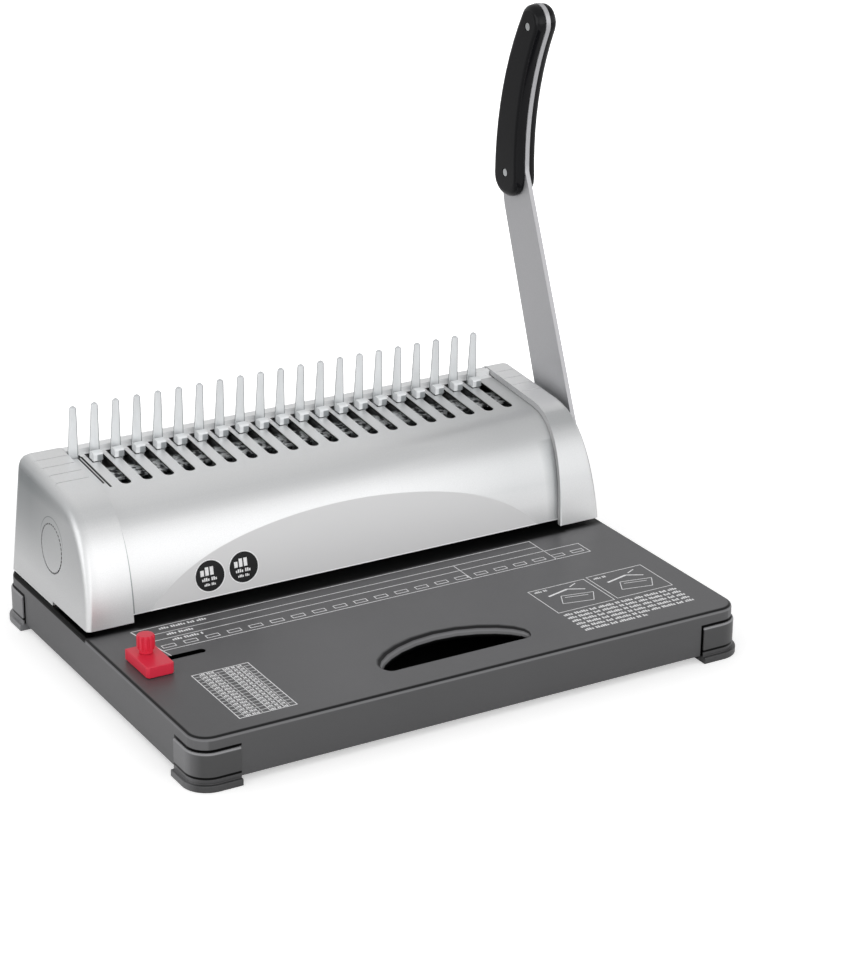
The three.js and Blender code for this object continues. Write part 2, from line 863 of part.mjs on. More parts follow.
function makeDiePlate() {
  const bottom = baseTop - dieThickness;
  const plate = box(railLeft, railRight, dieFrontY, dieBackY, bottom, baseTop);
  return plate.subtract(punchHoles(bottom - overrun, baseTop + overrun, fit));
}

function makePunchGuide() {
  const bottom = baseTop + throatHeight;
  const block = box(railLeft, railRight, guideFrontY, guideBackY, bottom, bottom + guideThickness);
  return block.subtract(punchHoles(bottom - overrun, bottom + guideThickness + overrun, fit));
}

function makePaperStop() {
  return box(
    railLeft, railRight, paperStopY, paperStopBackY,
    baseTop + fit, baseTop + throatHeight - fit,
  );
}

// Punch bar with tongues that run in the side frames and lugs for the return springs
function makePunchBar() {
  const half = punchBarDepth / 2;
  const left = railLeft + runningFit;
  const right = railRight - runningFit;
  const bar = box(left, right, punchY - half, punchY + half, punchBarBottom, punchBarTop);
  const tongueZ = (punchBarBottom + punchBarTop) / 2;
  const tongue = box(
    frameLeftX - frameThickness, frameRightX + frameThickness,
    punchY - tongueDepth / 2, punchY + tongueDepth / 2,
    tongueZ - tongueHeight / 2, tongueZ + tongueHeight / 2,
  );
  const lugs = springPlaces().map((x) => box(
    x - springLugWidth / 2, x + springLugWidth / 2,
    punchY - half - springLugDepth, punchY, tongueZ, punchBarTop,
  ));
  return wasm.Manifold.union([bar, tongue, ...lugs])
    .subtract(punchHoles(punchBarBottom - overrun, punchBarTop - fit, fit / 2));
}

// Flat punch with a shallow notch across its cutting end
function makePunch(index) {
  const x = stationX(index);
  const half = punchWidth / 2;
  const top = punchBarTop - fit * 2;
  const outline = polygon([
    [x - half, punchTipZ],
    [x, punchTipZ + punchNotch],
    [x + half, punchTipZ],
    [x + half, top],
    [x - half, top],
  ]);
  const geometry = new THREE.ExtrudeGeometry(outline, { depth: punchThickness, bevelEnabled: false });
  geometry.rotateX(Math.PI / 2);
  geometry.translate(0, punchY + punchThickness / 2, 0);
  return toSolid(geometry);
}

// Cam whose flat follower falls in step with the turn: a circle's involute under the shaft
function makeCam(x) {
  const base = shaftRadius + camHubWall;
  const rise = punchTravel / leverPunchSweep;
  const points = [];
  const steps = 12;
  for (let i = 0; i <= steps; i += 1) {
    const angle = (i / steps) * leverPunchSweep;
    const reach = base + rise * angle;
    const downY = -Math.sin(angle);
    const downZ = -Math.cos(angle);
    points.push([reach * downY + rise * downZ, reach * downZ - rise * downY]);
  }
  const heel = leverPunchSweep + camHeel;
  const backSteps = 18;
  for (let i = 0; i <= backSteps; i += 1) {
    const angle = heel + (i / backSteps) * (Math.PI * 2 - heel);
    points.push([-base * Math.sin(angle), -base * Math.cos(angle)]);
  }
  const outline = polygon(points.map(([y, z]) => [shaftY + y, shaftZ + z]));
  const lobe = drawnX(outline, x - camWidth / 2, x + camWidth / 2);
  return lobe.subtract(rodX(shaftRadius + fit, x - camWidth, x + camWidth, shaftY, shaftZ));
}

function camPlaces() {
  return [frameLeftX + camInset, frameRightX - camInset];
}

function springPlaces() {
  return [frameLeftX + springInset, frameRightX - springInset];
}

// Helical spring from one point to another, closed at both ends
function makeSpring(start, end, turns, radius) {
  const along = end.clone().sub(start);
  const length = along.length();
  const points = [];
  const steps = turns * 8;
  for (let i = 0; i <= steps; i += 1) {
    const angle = (i / steps) * turns * Math.PI * 2;
    points.push(new THREE.Vector3(
      radius * Math.cos(angle),
      radius * Math.sin(angle),
      springWire + (length - springWire * 2) * (i / steps),
    ));
  }
  const coil = new THREE.CatmullRomCurve3(points);
  const section = new THREE.Shape();
  section.absarc(0, 0, springWire / 2, 0, Math.PI * 2);
  const settings = { steps, extrudePath: coil, bevelEnabled: false, curveSegments: 3 };
  const geometry = new THREE.ExtrudeGeometry(section, settings);
  const turn = new THREE.Quaternion();
  turn.setFromUnitVectors(new THREE.Vector3(0, 0, 1), along.clone().normalize());
  geometry.applyQuaternion(turn);
  geometry.translate(start.x, start.y, start.z);
  return toSolid(geometry);
}

const crankX = frameRightX + frameThickness + crankGap;
const dogX = crankX + crankThickness + dogHeight + fit;
const leverX = capOuterX + leverGap - capDraft / 5;
const shaftLeft = frameLeftX - frameThickness - shaftStub;

function makeShaft() {
  const right = leverX + leverThickness + capNutHeight / 2;
  return rodX(shaftRadius, shaftLeft, right, shaftY, shaftZ);
}

function makeBush(x0, flangeSide) {
  const outer = shaftRadius + fit + bushWall;
  const x1 = x0 + frameThickness;
  const sleeve = rodX(outer, x0 - fit, x1 + fit, shaftY, shaftZ);
  const flangeX = flangeSide > 0 ? x1 + fit : x0 - fit - bushFlangeWidth;
  const flange = rodX(outer + bushFlange, flangeX, flangeX + bushFlangeWidth, shaftY, shaftZ);
  const bore = rodX(shaftRadius + fit, x0 - overrun, x1 + overrun, shaftY, shaftZ);
  return sleeve.add(flange).subtract(bore);
}

// Sector of a ring between two angles, seen along +X and measured from +Y towards +Z
function ringSector(inner, outer, from, to, x0, x1) {
  const shape = new THREE.Shape();
  shape.absarc(shaftY, shaftZ, outer, from, to);
  shape.lineTo(shaftY + inner * Math.cos(to), shaftZ + inner * Math.sin(to));
  shape.absarc(shaftY, shaftZ, inner, to, from, true);
  return drawnX(shape, x0, x1);
}

const crankPinY = shaftY + crankRadius * Math.sin(leverCombSweep / 2);
const crankPinZ = shaftZ - crankRadius * Math.cos(leverCombSweep / 2);
const forkX = frameRightX + frameThickness + forkGap;

// Crank loose on the shaft; its pin stands in the fork of the hook plate
function makeCrank() {
  const x1 = crankX + crankThickness;
  const hub = rodX(crankHubRadius, crankX, x1, shaftY, shaftZ);
  const boss = rodX(crankArmWidth / 2 - fit, crankX, x1, crankPinY, crankPinZ);
  const lean = leverCombSweep / 2;
  const half = crankArmWidth / 2 - fit;
  const offY = half * Math.cos(lean);
  const offZ = half * Math.sin(lean);
  const arm = drawnX(polygon([
    [shaftY - offY, shaftZ - offZ],
    [crankPinY - offY, crankPinZ - offZ],
    [crankPinY + offY, crankPinZ + offZ],
    [shaftY + offY, shaftZ + offZ],
  ]), crankX, x1);
  const pin = rodX(crankPinRadius, forkX - fit * 2, crankX + fit, crankPinY, crankPinZ, 16);
  const tooth = ringSector(
    dogBore, crankHubRadius, Math.PI / 2 - dogSector - dogPlay, Math.PI / 2 - dogPlay,
    x1 - fit, x1 + dogHeight,
  );
  const bore = rodX(shaftRadius + fit, crankX - overrun, x1 + overrun, shaftY, shaftZ);
  return wasm.Manifold.union([hub, boss, arm, pin, tooth]).subtract(bore);
}

// Collar fixed on the shaft; its tooth pushes the crank only when the lever goes back
function makeDog() {
  const collar = rodX(crankHubRadius, dogX, dogX + dogCollarWidth, shaftY, shaftZ);
  const tooth = ringSector(
    dogBore, crankHubRadius, Math.PI / 2, Math.PI / 2 + dogSector,
    dogX - dogHeight, dogX + fit,
  );
  const bore = rodX(shaftRadius + fit, dogX - overrun * 2, dogX + overrun * 2, shaftY, shaftZ);
  return collar.add(tooth).subtract(bore);
}

// The hooks' own frame: origin at the foot line of the fingers, tilted with the deck
const deck = new THREE.Group();
deck.position.set(0, fingerY, deckAt(fingerY));
deck.rotation.x = deckSlope;
deck.updateMatrix();
const intoDeck = deck.matrix.clone().invert();
machine.add(deck);

// Finger with an upright right edge; the left edge runs out towards the foot
function fingerShape(x) {
  const deckZ = deckAt(fingerY);
  const tip = (fingerTipLeft + fingerRight) / 2;
  const shape = new THREE.Shape();
  shape.moveTo(x - fingerFootLeft, combStripTop - fit);
  shape.lineTo(x + fingerRight, combStripTop - fit);
  shape.lineTo(x + fingerRight, fingerTopZ - tip);
  shape.absarc(x + fingerRight - tip, fingerTopZ - tip, tip, 0, Math.PI);
  shape.lineTo(x - fingerFootLeft, deckZ);
  return shape;
}

// Fixed comb: 21 fingers cut from one upright steel strip that stands in the side frames
function makeFingerComb() {
  const half = fingerThickness / 2;
  const strip = box(
    frameLeftX - frameThickness, frameRightX + frameThickness,
    fingerY - half, fingerY + half, combStripBottom, combStripTop,
  );
  const fingers = [];
  for (let i = 0; i < stations; i += 1) {
    const settings = { depth: fingerThickness, bevelEnabled: false, curveSegments: 8 };
    const geometry = new THREE.ExtrudeGeometry(fingerShape(stationX(i)), settings);
    geometry.rotateX(Math.PI / 2);
    geometry.translate(0, fingerY + half, 0);
    fingers.push(toSolid(geometry));
  }
  return wasm.Manifold.union([strip, ...fingers]);
}

// One hook: rounded head beside the long slot, on a stem that stands in the slot
function makeHook(x) {
  const left = x - hookLeft;
  const right = x - hookRight;
  const shape = new THREE.Shape();
  shape.moveTo(-hookFront, hookLift);
  shape.lineTo(-hookFront + hookDepth, hookLift);
  shape.lineTo(-hookFront + hookDepth, hookHeight - hookRound);
  shape.absarc(-hookFront + hookDepth - hookRound, hookHeight - hookRound, hookRound, 0, Math.PI / 2);
  shape.lineTo(-hookFront + hookRound, hookHeight);
  shape.absarc(-hookFront + hookRound, hookHeight - hookRound, hookRound, Math.PI / 2, Math.PI);
  const head = drawnX(shape, left, right, { curveSegments: 3 });
  const stem = box(
    right - hookStemWidth, right, -hookStemFront, -hookStemFront + hookStemDepth,
    -hookPlateDrop - fit, hookHeight - hookRound,
  );
  return head.add(stem);
}

// Sliding plate with 20 hooks, driven through a forked arm by the crank pin
function makeHookPlate() {
  const top = -hookPlateDrop;
  const plate = box(
    frameLeftX - frameThickness, forkX + forkThickness,
    -hookPlateFront, -hookPlateBack, top - hookPlateThickness, top,
  );
  const hooks = [];
  for (let i = 1; i < stations; i += 1) {
    hooks.push(makeHook(stationX(i)));
  }
  const tab = box(
    hookSpringX - hookSpringRadius, hookSpringX + hookSpringRadius,
    -hookSpringTabY, -hookSpringTabY + hookSpringTab,
    -hookSpringDrop - hookSpringRadius, top - fit,
  );
  return wasm.Manifold.union([plate, tab, ...hooks, forkArm()]);
}

// Arm that passes behind the shaft and ends in a fork open downwards
function forkArm() {
  const gap = crankPinRadius + crankPinPlay;
  const frontY = crankPinY - gap - forkProng;
  const backY = crankPinY + gap + forkProng;
  const stripFront = shaftY + shaftRadius + hookTravel + forkStripGap;
  const stripBack = stripFront + forkStripWidth;
  const footHigh = shaftZ - shaftRadius - forkShaftGap;
  const footLow = crankPinZ + crankPinRadius + forkPinRoom;
  const low = baseTop + forkFloorGap;
  const topDrop = hookPlateDrop + hookPlateThickness / 2;
  const arm = drawnX(polygon([
    [stripFront, deckAt(stripFront) - topDrop],
    [stripFront, footHigh],
    [frontY, footHigh],
    [frontY, low],
    [frontY + forkProng, low],
    [frontY + forkProng, footLow],
    [backY - forkProng, footLow],
    [backY - forkProng, low],
    [backY, low],
    [backY, footLow],
    [stripBack, footLow],
    [stripBack, deckAt(stripBack) - topDrop],
  ]), forkX, forkX + forkThickness);
  return arm.transform(intoDeck.elements);
}

// Places on the grip's curved middle line, with the half width there
function gripLine(share) {
  const angle = gripStartLean - share * gripSweep;
  return {
    y: gripFootY + gripBend * (Math.cos(angle) - Math.cos(gripStartLean)),
    z: gripFootZ + gripBend * (Math.sin(gripStartLean) - Math.sin(angle)),
    angle,
    half: (gripFootWidth + (gripTipWidth - gripFootWidth) * share) / 2,
  };
}

// A point beside the grip's middle line; way 1 is the back edge, way -1 the front edge
function gripEdge(share, inset, way) {
  const place = gripLine(share);
  const reach = way * (place.half - inset);
  return [place.y + reach * Math.cos(place.angle), place.z - reach * Math.sin(place.angle)];
}

// Curved band of the grip, bluntly rounded at the foot and round at the tip
function gripShape(inset) {
  const steps = 10;
  const shape = new THREE.Shape();
  const tip = gripLine(1);
  const [footY, footZ] = gripEdge(0, inset, -1);
  const [heelY, heelZ] = gripEdge(0, inset, 1);
  const heel = gripHeel - inset;
  shape.moveTo(footY, footZ);
  shape.bezierCurveTo(footY, footZ - heel, heelY, heelZ - heel, heelY, heelZ);
  for (let i = 1; i < steps; i += 1) {
    shape.lineTo(...gripEdge(i / steps, inset, 1));
  }
  shape.absarc(tip.y, tip.z, tip.half - inset, -tip.angle, Math.PI - tip.angle);
  for (let i = steps - 1; i > 0; i -= 1) {
    shape.lineTo(...gripEdge(i / steps, inset, -1));
  }
  return shape;
}

const screwShares = [0.02, 0.97];

function screwPlaces() {
  return screwShares.map(gripLine);
}

function screwHoles(x0, x1, radius) {
  return wasm.Manifold.union(screwPlaces().map((place) => rodX(radius, x0, x1, place.y, place.z, 16)));
}

// Flat steel bar: round foot on the shaft, tapered neck, curved end inside the grip
function makeLeverBar() {
  const x1 = leverX + leverThickness;
  const footHalf = leverFootWidth / 2;
  const neckHalf = leverNeckWidth / 2;
  const cos = Math.cos(leverLean);
  const sin = Math.sin(leverLean);
  const neckY = shaftY + leverNeckLength * sin;
  const neckZ = shaftZ + leverNeckLength * cos;
  const strip = drawnX(polygon([
    [shaftY - footHalf * cos, shaftZ + footHalf * sin],
    [shaftY + footHalf * cos, shaftZ - footHalf * sin],
    [neckY + neckHalf * cos, neckZ - neckHalf * sin],
    gripEdge(neckBlendShare, 0, 1),
    gripEdge(neckBlendShare, 0, -1),
    [neckY + leverNeckFront * sin - neckHalf * cos, neckZ + leverNeckFront * cos + neckHalf * sin],
  ]), leverX, x1);
  const foot = rodX(footHalf, leverX, x1, shaftY, shaftZ, 32);
  const blade = drawnX(gripShape(0), leverX, x1);
  const bore = rodX(shaftRadius + fit, leverX - overrun, x1 + overrun, shaftY, shaftZ);
  return wasm.Manifold.union([strip, foot, blade]).subtract(bore)
    .subtract(screwHoles(leverX - overrun, x1 + overrun, gripScrewRadius + fit));
}

// One half of the grip; side -1 lies towards the housing
function makeGripShell(side) {
  const flat = side < 0 ? leverX - fit : leverX + leverThickness + fit;
  const far = flat + side * gripShellThickness;
  const bevel = {
    bevelEnabled: true,
    bevelThickness: gripShellRound,
    bevelSize: gripShellRound,
    bevelSegments: 4,
    curveSegments: 12,
  };
  const left = Math.min(flat, far);
  const right = Math.max(flat, far);
  const coreLeft = side < 0 ? left + gripShellRound : flat - gripShellThickness;
  const coreRight = side < 0 ? flat + gripShellThickness : right - gripShellRound;
  const full = drawnX(gripShape(gripShellInset + gripShellRound), coreLeft, coreRight, bevel);
  const shell = full.intersect(box(left, right, 0, baseDepth * 2, 0, baseWidth * 2));
  if (side < 0) {
    const seat = far + gripScrewHeadHeight;
    return shell.subtract(screwHoles(far - overrun, flat + overrun, gripScrewRadius + fit))
      .subtract(screwHoles(far - overrun, seat, gripScrewHeadRadius + fit));
  }
  return shell.subtract(screwHoles(flat - overrun, flat + gripScrewReach, gripScrewRadius + fit));
}

function makeGripScrew(place) {
  const seat = leverX - fit * 2 - gripShellThickness + gripScrewHeadHeight;
  const end = leverX + leverThickness + gripScrewReach;
  const head = rodX(
    gripScrewHeadRadius, seat - gripScrewHeadHeight + fit * 2, seat, place.y, place.z, 16,
  );
  return head.add(rodX(gripScrewRadius, seat - fit, end, place.y, place.z, 12));
}

// Domed nut that holds the lever on the shaft
function makeCapNut() {
  const left = leverX + leverThickness + fit;
  const profile = [new THREE.Vector2(0, 0), ...capNutShares.map(
    ([out, up]) => new THREE.Vector2(capNutRadius * out, capNutHeight * up),
  )];
  const geometry = new THREE.LatheGeometry(profile, 24);
  geometry.rotateZ(-Math.PI / 2);
  geometry.translate(left, shaftY, shaftZ);
  const bore = rodX(shaftRadius + fit, left - overrun, left + capNutHeight / 2 + fit, shaftY, shaftZ);
  return toSolid(geometry).subtract(bore);
}

// Red stop for the paper's edge, clamped through the slot in the base
const edgeGuideZ = baseTop + fit;
const edgeGuideLeftX = edgeGuideInset - baseWidth / 2;
const knobX = edgeGuideLeftX + edgeGuideWidth / 2;

function makeEdgeGuide() {
  const x0 = edgeGuideLeftX;
  const x1 = x0 + edgeGuideWidth;
  const y0 = edgeGuideFrontY;
  const y1 = y0 + edgeGuideDepth;
  const plan = polygon([
    [x0, y0 + edgeGuideChamfer],
    [x0 + edgeGuideChamfer, y0],
    [x1 - edgeGuideChamfer, y0],
    [x1, y0 + edgeGuideChamfer],
    [x1, y1],
    [x0, y1],
  ]);
  const bevel = {
    bevelEnabled: true,
    bevelThickness: edgeGuideEdge,
    bevelSize: edgeGuideEdge,
    bevelOffset: -edgeGuideEdge,
    bevelSegments: 2,
  };
  const block = raised(
    plan, edgeGuideZ + edgeGuideEdge, edgeGuideZ + edgeGuideHeight - edgeGuideEdge, bevel,
  );
  return block.subtract(rodZ(studRadius + fit, knobX, guideSlotY, 0, edgeGuideZ + edgeGuideHeight * 2));
}

// Fluted thumb screw: head, neck and the stud that goes down through the slot
function makeKnob() {
  const foot = edgeGuideZ + edgeGuideHeight + fit;
  const low = foot + knobNeckHeight;
  const neck = rodZ(knobNeckRadius, knobX, guideSlotY, foot, low + fit);
  const plan = new THREE.Shape();
  plan.absarc(knobX, guideSlotY, knobRadius - knobEdge, 0, Math.PI * 2);
  const head = raised(plan, low + knobEdge, low + knobHeight - knobEdge, {
    bevelEnabled: true,
    bevelThickness: knobEdge,
    bevelSize: knobEdge,
    bevelSegments: 3,
    curveSegments: 18,
  });
  const flutes = [];
  for (let i = 0; i < knobFlutes; i += 1) {
    const angle = (i / knobFlutes) * Math.PI * 2;
    flutes.push(rodZ(
      knobFluteRadius,
      knobX + knobRadius * Math.cos(angle), guideSlotY + knobRadius * Math.sin(angle),
      low - overrun, low + knobHeight + overrun, 8,
    ));
  }
  const stud = rodZ(studRadius, knobX, guideSlotY, baseTop - baseWall - clampHeight, foot + fit, 12);
  return head.subtract(wasm.Manifold.union(flutes)).add(neck).add(stud);
}

function makeClamp() {
  const top = baseTop - baseWall - fit;
  const half = clampWidth / 2;
  const block = box(
    knobX - half, knobX + half, guideSlotY - half, guideSlotY + half, top - clampHeight, top,
  );
  return block.subtract(rodZ(studRadius + fit, knobX, guideSlotY, 0, baseTop));
}

// Drawer for the punched chips, pulled out at the back
function makeChipTray() {
  const half = trayWidth / 2;
  const back = baseDepth;
  const front = back - trayDepth;
  const low = baseUnderside + panThickness + fit;
  const body = box(-half, half, front, back, low, trayTop);
  const inside = box(
    -half + trayWall, half - trayWall, front + trayWall, back - trayWall, low + trayWall, trayTop + overrun,
  );
  const pull = box(
    -trayPullWidth / 2, trayPullWidth / 2,
    back - trayWall - overrun, back + overrun, trayTop - trayPullHeight, trayTop + overrun,
  );
  return body.subtract(inside).subtract(pull);
}

// Base
add('base_cover', makeBaseCover(), 'charcoal');
add('base_pan', makeBasePan(), 'darkSteel');
add('foot_front_left', makeCornerFoot(-1, -1), 'rubber');
add('foot_front_right', makeCornerFoot(1, -1), 'rubber');
add('foot_back_left', makeCornerFoot(-1, 1), 'rubber');
add('foot_back_right', makeCornerFoot(1, 1), 'rubber');
add('chip_tray', makeChipTray(), 'black');

// Housing
add('housing_cover', makeHousingCover(), 'deckSilver');
add('end_cap_left', makeLeftCap(), 'silver');
add('end_cap_right', makeRightCap(), 'silver');

// Frame and punch set
add('side_frame_left', makeSideFrame(frameLeftX - frameThickness, -1), 'steel');
add('side_frame_right', makeSideFrame(frameRightX, 1), 'steel');
add('tie_rod', makeTieRod(), 'steel');
add('die_plate', makeDiePlate(), 'steel');
add('punch_guide', makePunchGuide(), 'darkSteel');
add('paper_stop', makePaperStop(), 'darkSteel');
add('punch_bar', makePunchBar(), 'darkSteel');
for (let i = 0; i < stations; i += 1) {
  add(`punch_${String(i + 1).padStart(2, '0')}`, makePunch(i), 'steel');
}
springPlaces().forEach((x, index) => {
  const low = new THREE.Vector3(x, springY, punchBarTop + fit);
  const high = new THREE.Vector3(x, springY, tieRodZ - tieRodRadius - fit);
  add(`punch_spring_${['left', 'right'][index]}`, makeSpring(low, high, springTurns, springRadius), 'spring');
});

// Shaft, cams and comb drive
add('lever_shaft', makeShaft(), 'steel');
add('bush_left', makeBush(frameLeftX - frameThickness, -1), 'brass');
add('bush_right', makeBush(frameRightX, 1), 'brass');
camPlaces().forEach((x, index) => {
  add(`cam_${['left', 'right'][index]}`, makeCam(x), 'darkSteel');
});
add('comb_crank', makeCrank(), 'darkSteel');
add('drive_dog', makeDog(), 'steel');
add('finger_comb', makeFingerComb(), 'steel');
add('hook_plate', makeHookPlate(), 'steel', deck);
const tabBack = -hookSpringTabY + hookSpringTab;
const stripFace = -fingerThickness / 2 - hookSpringDrop * Math.tan(deckSlope);
const hookSpringStart = new THREE.Vector3(hookSpringX, tabBack + fit, -hookSpringDrop);
const hookSpringEnd = new THREE.Vector3(hookSpringX, stripFace - runningFit, -hookSpringDrop);
const hookSpring = makeSpring(hookSpringStart, hookSpringEnd, hookSpringTurns, hookSpringRadius - springWire / 2);
add('hook_spring', hookSpring, 'spring', deck);

// Lever
add('lever_bar', makeLeverBar(), 'steel');
add('grip_inner', makeGripShell(-1), 'black');
add('grip_outer', makeGripShell(1), 'black');
screwPlaces().forEach((place, index) => {
  add(`grip_screw_${['lower', 'upper'][index]}`, makeGripScrew(place), 'steel');
});
add('lever_cap_nut', makeCapNut(), 'steel');

// Edge guide
add('edge_guide', makeEdgeGuide(), 'red');
add('guide_knob', makeKnob(), 'red');
add('guide_clamp', makeClamp(), 'darkSteel');

// Origin at the middle of the whole machine's footprint, on the table
const group = new THREE.Group();
group.add(machine);
const bounds = new THREE.Box3().setFromObject(group);
const middle = bounds.getCenter(new THREE.Vector3());
machine.position.set(-middle.x, -middle.y, -bounds.min.z);

export default group;
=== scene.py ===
"""Looks of a desk machine that punches paper and opens plastic comb spines.

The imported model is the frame. Its parts get softened edges and their finishes here, and the
prints, badges, floor, lights and camera are added.
"""
import json
import math

import bmesh
import bpy
from bpy.props import FloatProperty, FloatVectorProperty, IntProperty, PointerProperty
from bpy.types import Operator, Panel, PropertyGroup
from mathutils import Matrix, Quaternion, Vector
from mathutils.bvhtree import BVHTree

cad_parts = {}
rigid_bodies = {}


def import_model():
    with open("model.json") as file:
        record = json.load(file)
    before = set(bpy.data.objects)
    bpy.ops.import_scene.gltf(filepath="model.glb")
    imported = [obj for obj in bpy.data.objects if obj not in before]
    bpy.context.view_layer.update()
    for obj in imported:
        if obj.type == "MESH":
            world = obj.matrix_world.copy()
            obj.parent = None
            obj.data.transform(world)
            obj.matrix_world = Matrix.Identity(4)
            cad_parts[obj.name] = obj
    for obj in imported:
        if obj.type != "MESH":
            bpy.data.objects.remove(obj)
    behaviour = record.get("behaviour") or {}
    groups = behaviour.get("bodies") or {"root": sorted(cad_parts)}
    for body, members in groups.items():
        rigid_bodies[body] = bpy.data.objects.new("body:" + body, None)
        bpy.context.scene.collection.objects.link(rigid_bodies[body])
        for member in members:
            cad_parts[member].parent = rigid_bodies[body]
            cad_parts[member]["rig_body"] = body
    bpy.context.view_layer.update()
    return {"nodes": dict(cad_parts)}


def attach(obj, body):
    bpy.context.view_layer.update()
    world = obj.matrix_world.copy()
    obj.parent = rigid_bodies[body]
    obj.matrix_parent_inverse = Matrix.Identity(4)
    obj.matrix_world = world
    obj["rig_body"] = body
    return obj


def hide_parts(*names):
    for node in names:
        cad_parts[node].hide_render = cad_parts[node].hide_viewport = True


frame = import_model()
parts = frame["nodes"]

bl_info = {
    "name": "Comb binder looks",
    "version": (1, 0, 0),
    "blender": (4, 5, 0),
    "location": "View3D > Sidebar > Comb binder",
    "description": "Finishes, softened edges, prints and studio for the comb binding machine",
    "category": "Object",
}


# ---------------------------------------------------------------- places on the machine
#
# In metres: x runs to the machine's right, y to its back and z up from the table.

# The comb
PITCH = 0.0142875  # from finger to finger
FINGERS = 21
FIRST_FINGER_X = -0.145915
FINGER_ROOT_Z, FINGER_HEIGHT, FINGER_TIP_Z = 0.084, 0.0563, 0.1391
FINGER_LEFT, FINGER_RIGHT = 0.0044, 0.0022  # how far it reaches from its middle
FINGER_TAPER = 0.0024  # how much nearer its left edge is at the tip
FINGER_STEM_Y = 0.1090  # the line along its left edge is behind this
COMB_SHADE_Z = 0.1075

# The hook plate
HOOK_HEAD_Z, HOOK_HEAD_TOP_Z = 0.1035, 0.1100
HOOK_SHADED_SIDE = -0.0044, 0.0036  # from the nearest finger's middle
HOOK_PLATE_Y = 0.070, 0.093

# The cover
FRONT_END_Y = 0.032  # its front turns into the shoulder here
ARC_MIDDLE_X, ARC_HALF_WIDTH = -0.0031, 0.1372
ARC_TOP_Z, ARC_DROP = 0.0787, 0.0403
ARC_ROUNDNESS = 0.595  # share of the drop that grows as a square; the rest as a sixth power
COVER_SEAM_SHADE_X, COVER_SEAM_SHADE_TOP_Z = -0.1503, 0.090
COVER_CORNER_SHADE_X, COVER_CORNER_SHADE_TOP_Z = 0.1415, 0.080
COVER_LIP_HIGHLIGHT_TOP_Z = 0.0391
COVER_SHOULDER_SHADE_Z = 0.0870, 0.0960
COVER_RIGHT_SHADE_X, COVER_RIGHT_SHADE_Z = 0.02, 0.052
# The ledge gets a brighter colour as painted light
LEDGE_Y, LEDGE_Z = 0.1082, 0.1045
DECK_Y, DECK_Z, DECK_RISE = 0.056, 0.1018, 0.089  # a point on the deck, and its slope
DECK_SLOTS_Y, DECK_HALF_WIDTH = (0.0615, 0.1120), 0.1500
# Painted shade: dark margins that make the two narrow slots look wider
NARROW_SLOT_SHADES = (  # x and y of the dark right edges of the two slots beside a finger
    ((-0.142215, -0.141515), (0.0629, 0.1080)),
    ((-0.145015, -0.144315), (0.0689, 0.1080)),
)
NARROW_SLOT_Z = 0.100

# The end caps
CAP_SIDE_X = -0.168  # the left cap's side is beyond this
CAP_SHADE_X, CAP_SHADE_Y, CAP_SHADE_Z = -0.1810, 0.050, 0.045
CAP_SHOULDER_SHADE_Z = 0.0920, 0.1010
CAP_LIP_HIGHLIGHT_TOP_Z = 0.0337
RIGHT_CAP_X = 0.1496  # the right cap's raised part is beyond this
RIGHT_CAP_SHADE_Z, RIGHT_CAP_HIGHLIGHT_Z = (0.0450, 0.0990), 0.1020
RIGHT_CREST_HIGHLIGHT_X, RIGHT_CREST_TOP_Z = (0.1400, 0.1498), 0.1080
# The right cap's outer flank, which gets painted shade
RIGHT_SIDE_X, RIGHT_SIDE_FOOT_Z, RIGHT_SIDE_LEAN = 0.1793, 0.0328, 0.059
RIGHT_STEP_X = 0.158  # the right cap's inner step ends here
RING_Y, RING_Z, RING_REACH, RING_DASHES = 0.0669, 0.069, (0.0146, 0.0155), 34
# The ring's upper lip, which gets painted shade
RING_LIP_Z, RING_LIP_REACH, RING_LIP_BOTTOM_Z = 0.0712, (0.0170, 0.0175), 0.072

# The base shell and its pan
BASE_MIDDLE_X, BASE_MIDDLE_Y, BASE_TOP_Z = -0.00195, -0.00335, 0.0325
# Bounds of the painted shade and the painted highlight on the base shell and its pan
RIM_Z, RIM_TOP_Z = (0.0313, 0.0322), 0.0322
RIM_HIGHLIGHT_Z, UNDER_RIM_Z, RIM_SIDE_X = (0.0298, 0.0307), 0.0297, 0.1775
HOUSING_Y = 0.0105  # behind this the housing's sides stand on the base
HOUSING_SHADOW_Y, THROAT_SHADOW_Y, THROAT_HALF_WIDTH = 0.0070, 0.0040, 0.1500
SHELL_INSIDE_X, SHELL_INSIDE_Y, SHELL_INSIDE_Z = 0.172, 0.125, 0.0285
GUIDE_SLOT_X, GUIDE_SLOT_Y, GUIDE_SLOT_Z = (-0.178, -0.125), (-0.047, -0.028), 0.0321
FOOT_GAP_X, FOOT_GAP_Y, FOOT_GAP_Z = (0.1550, 0.1566), (0.1075, 0.1091), (0.0231, 0.0246)
FOOT_LIP_X, FOOT_LIP_Y = 0.1553, 0.1078  # the gap over a foot is beyond both
SHELL_SIDE_X, SHELL_FRONT_Y = 0.1810, 0.1345  # from the base's middle
FRONT_WALL_Y, FRONT_WALL_TOP_Z = -0.1385, 0.0300
LEFT_SHADE_X = -0.17
PAN_FLOOR_Z = 0.0056, 0.0060

# The feet
# Bounds of the feet's painted shade and painted light
FOOT_FRONT_Y, FOOT_FACE_TOP_Z, FOOT_HIGHLIGHT_Z = -0.1375, 0.0215, 0.0220
FOOT_FLANK_X, FOOT_BACK_Y = 0.1835, -0.05
SOLE_SHADE_Z = 0.0070, 0.0084

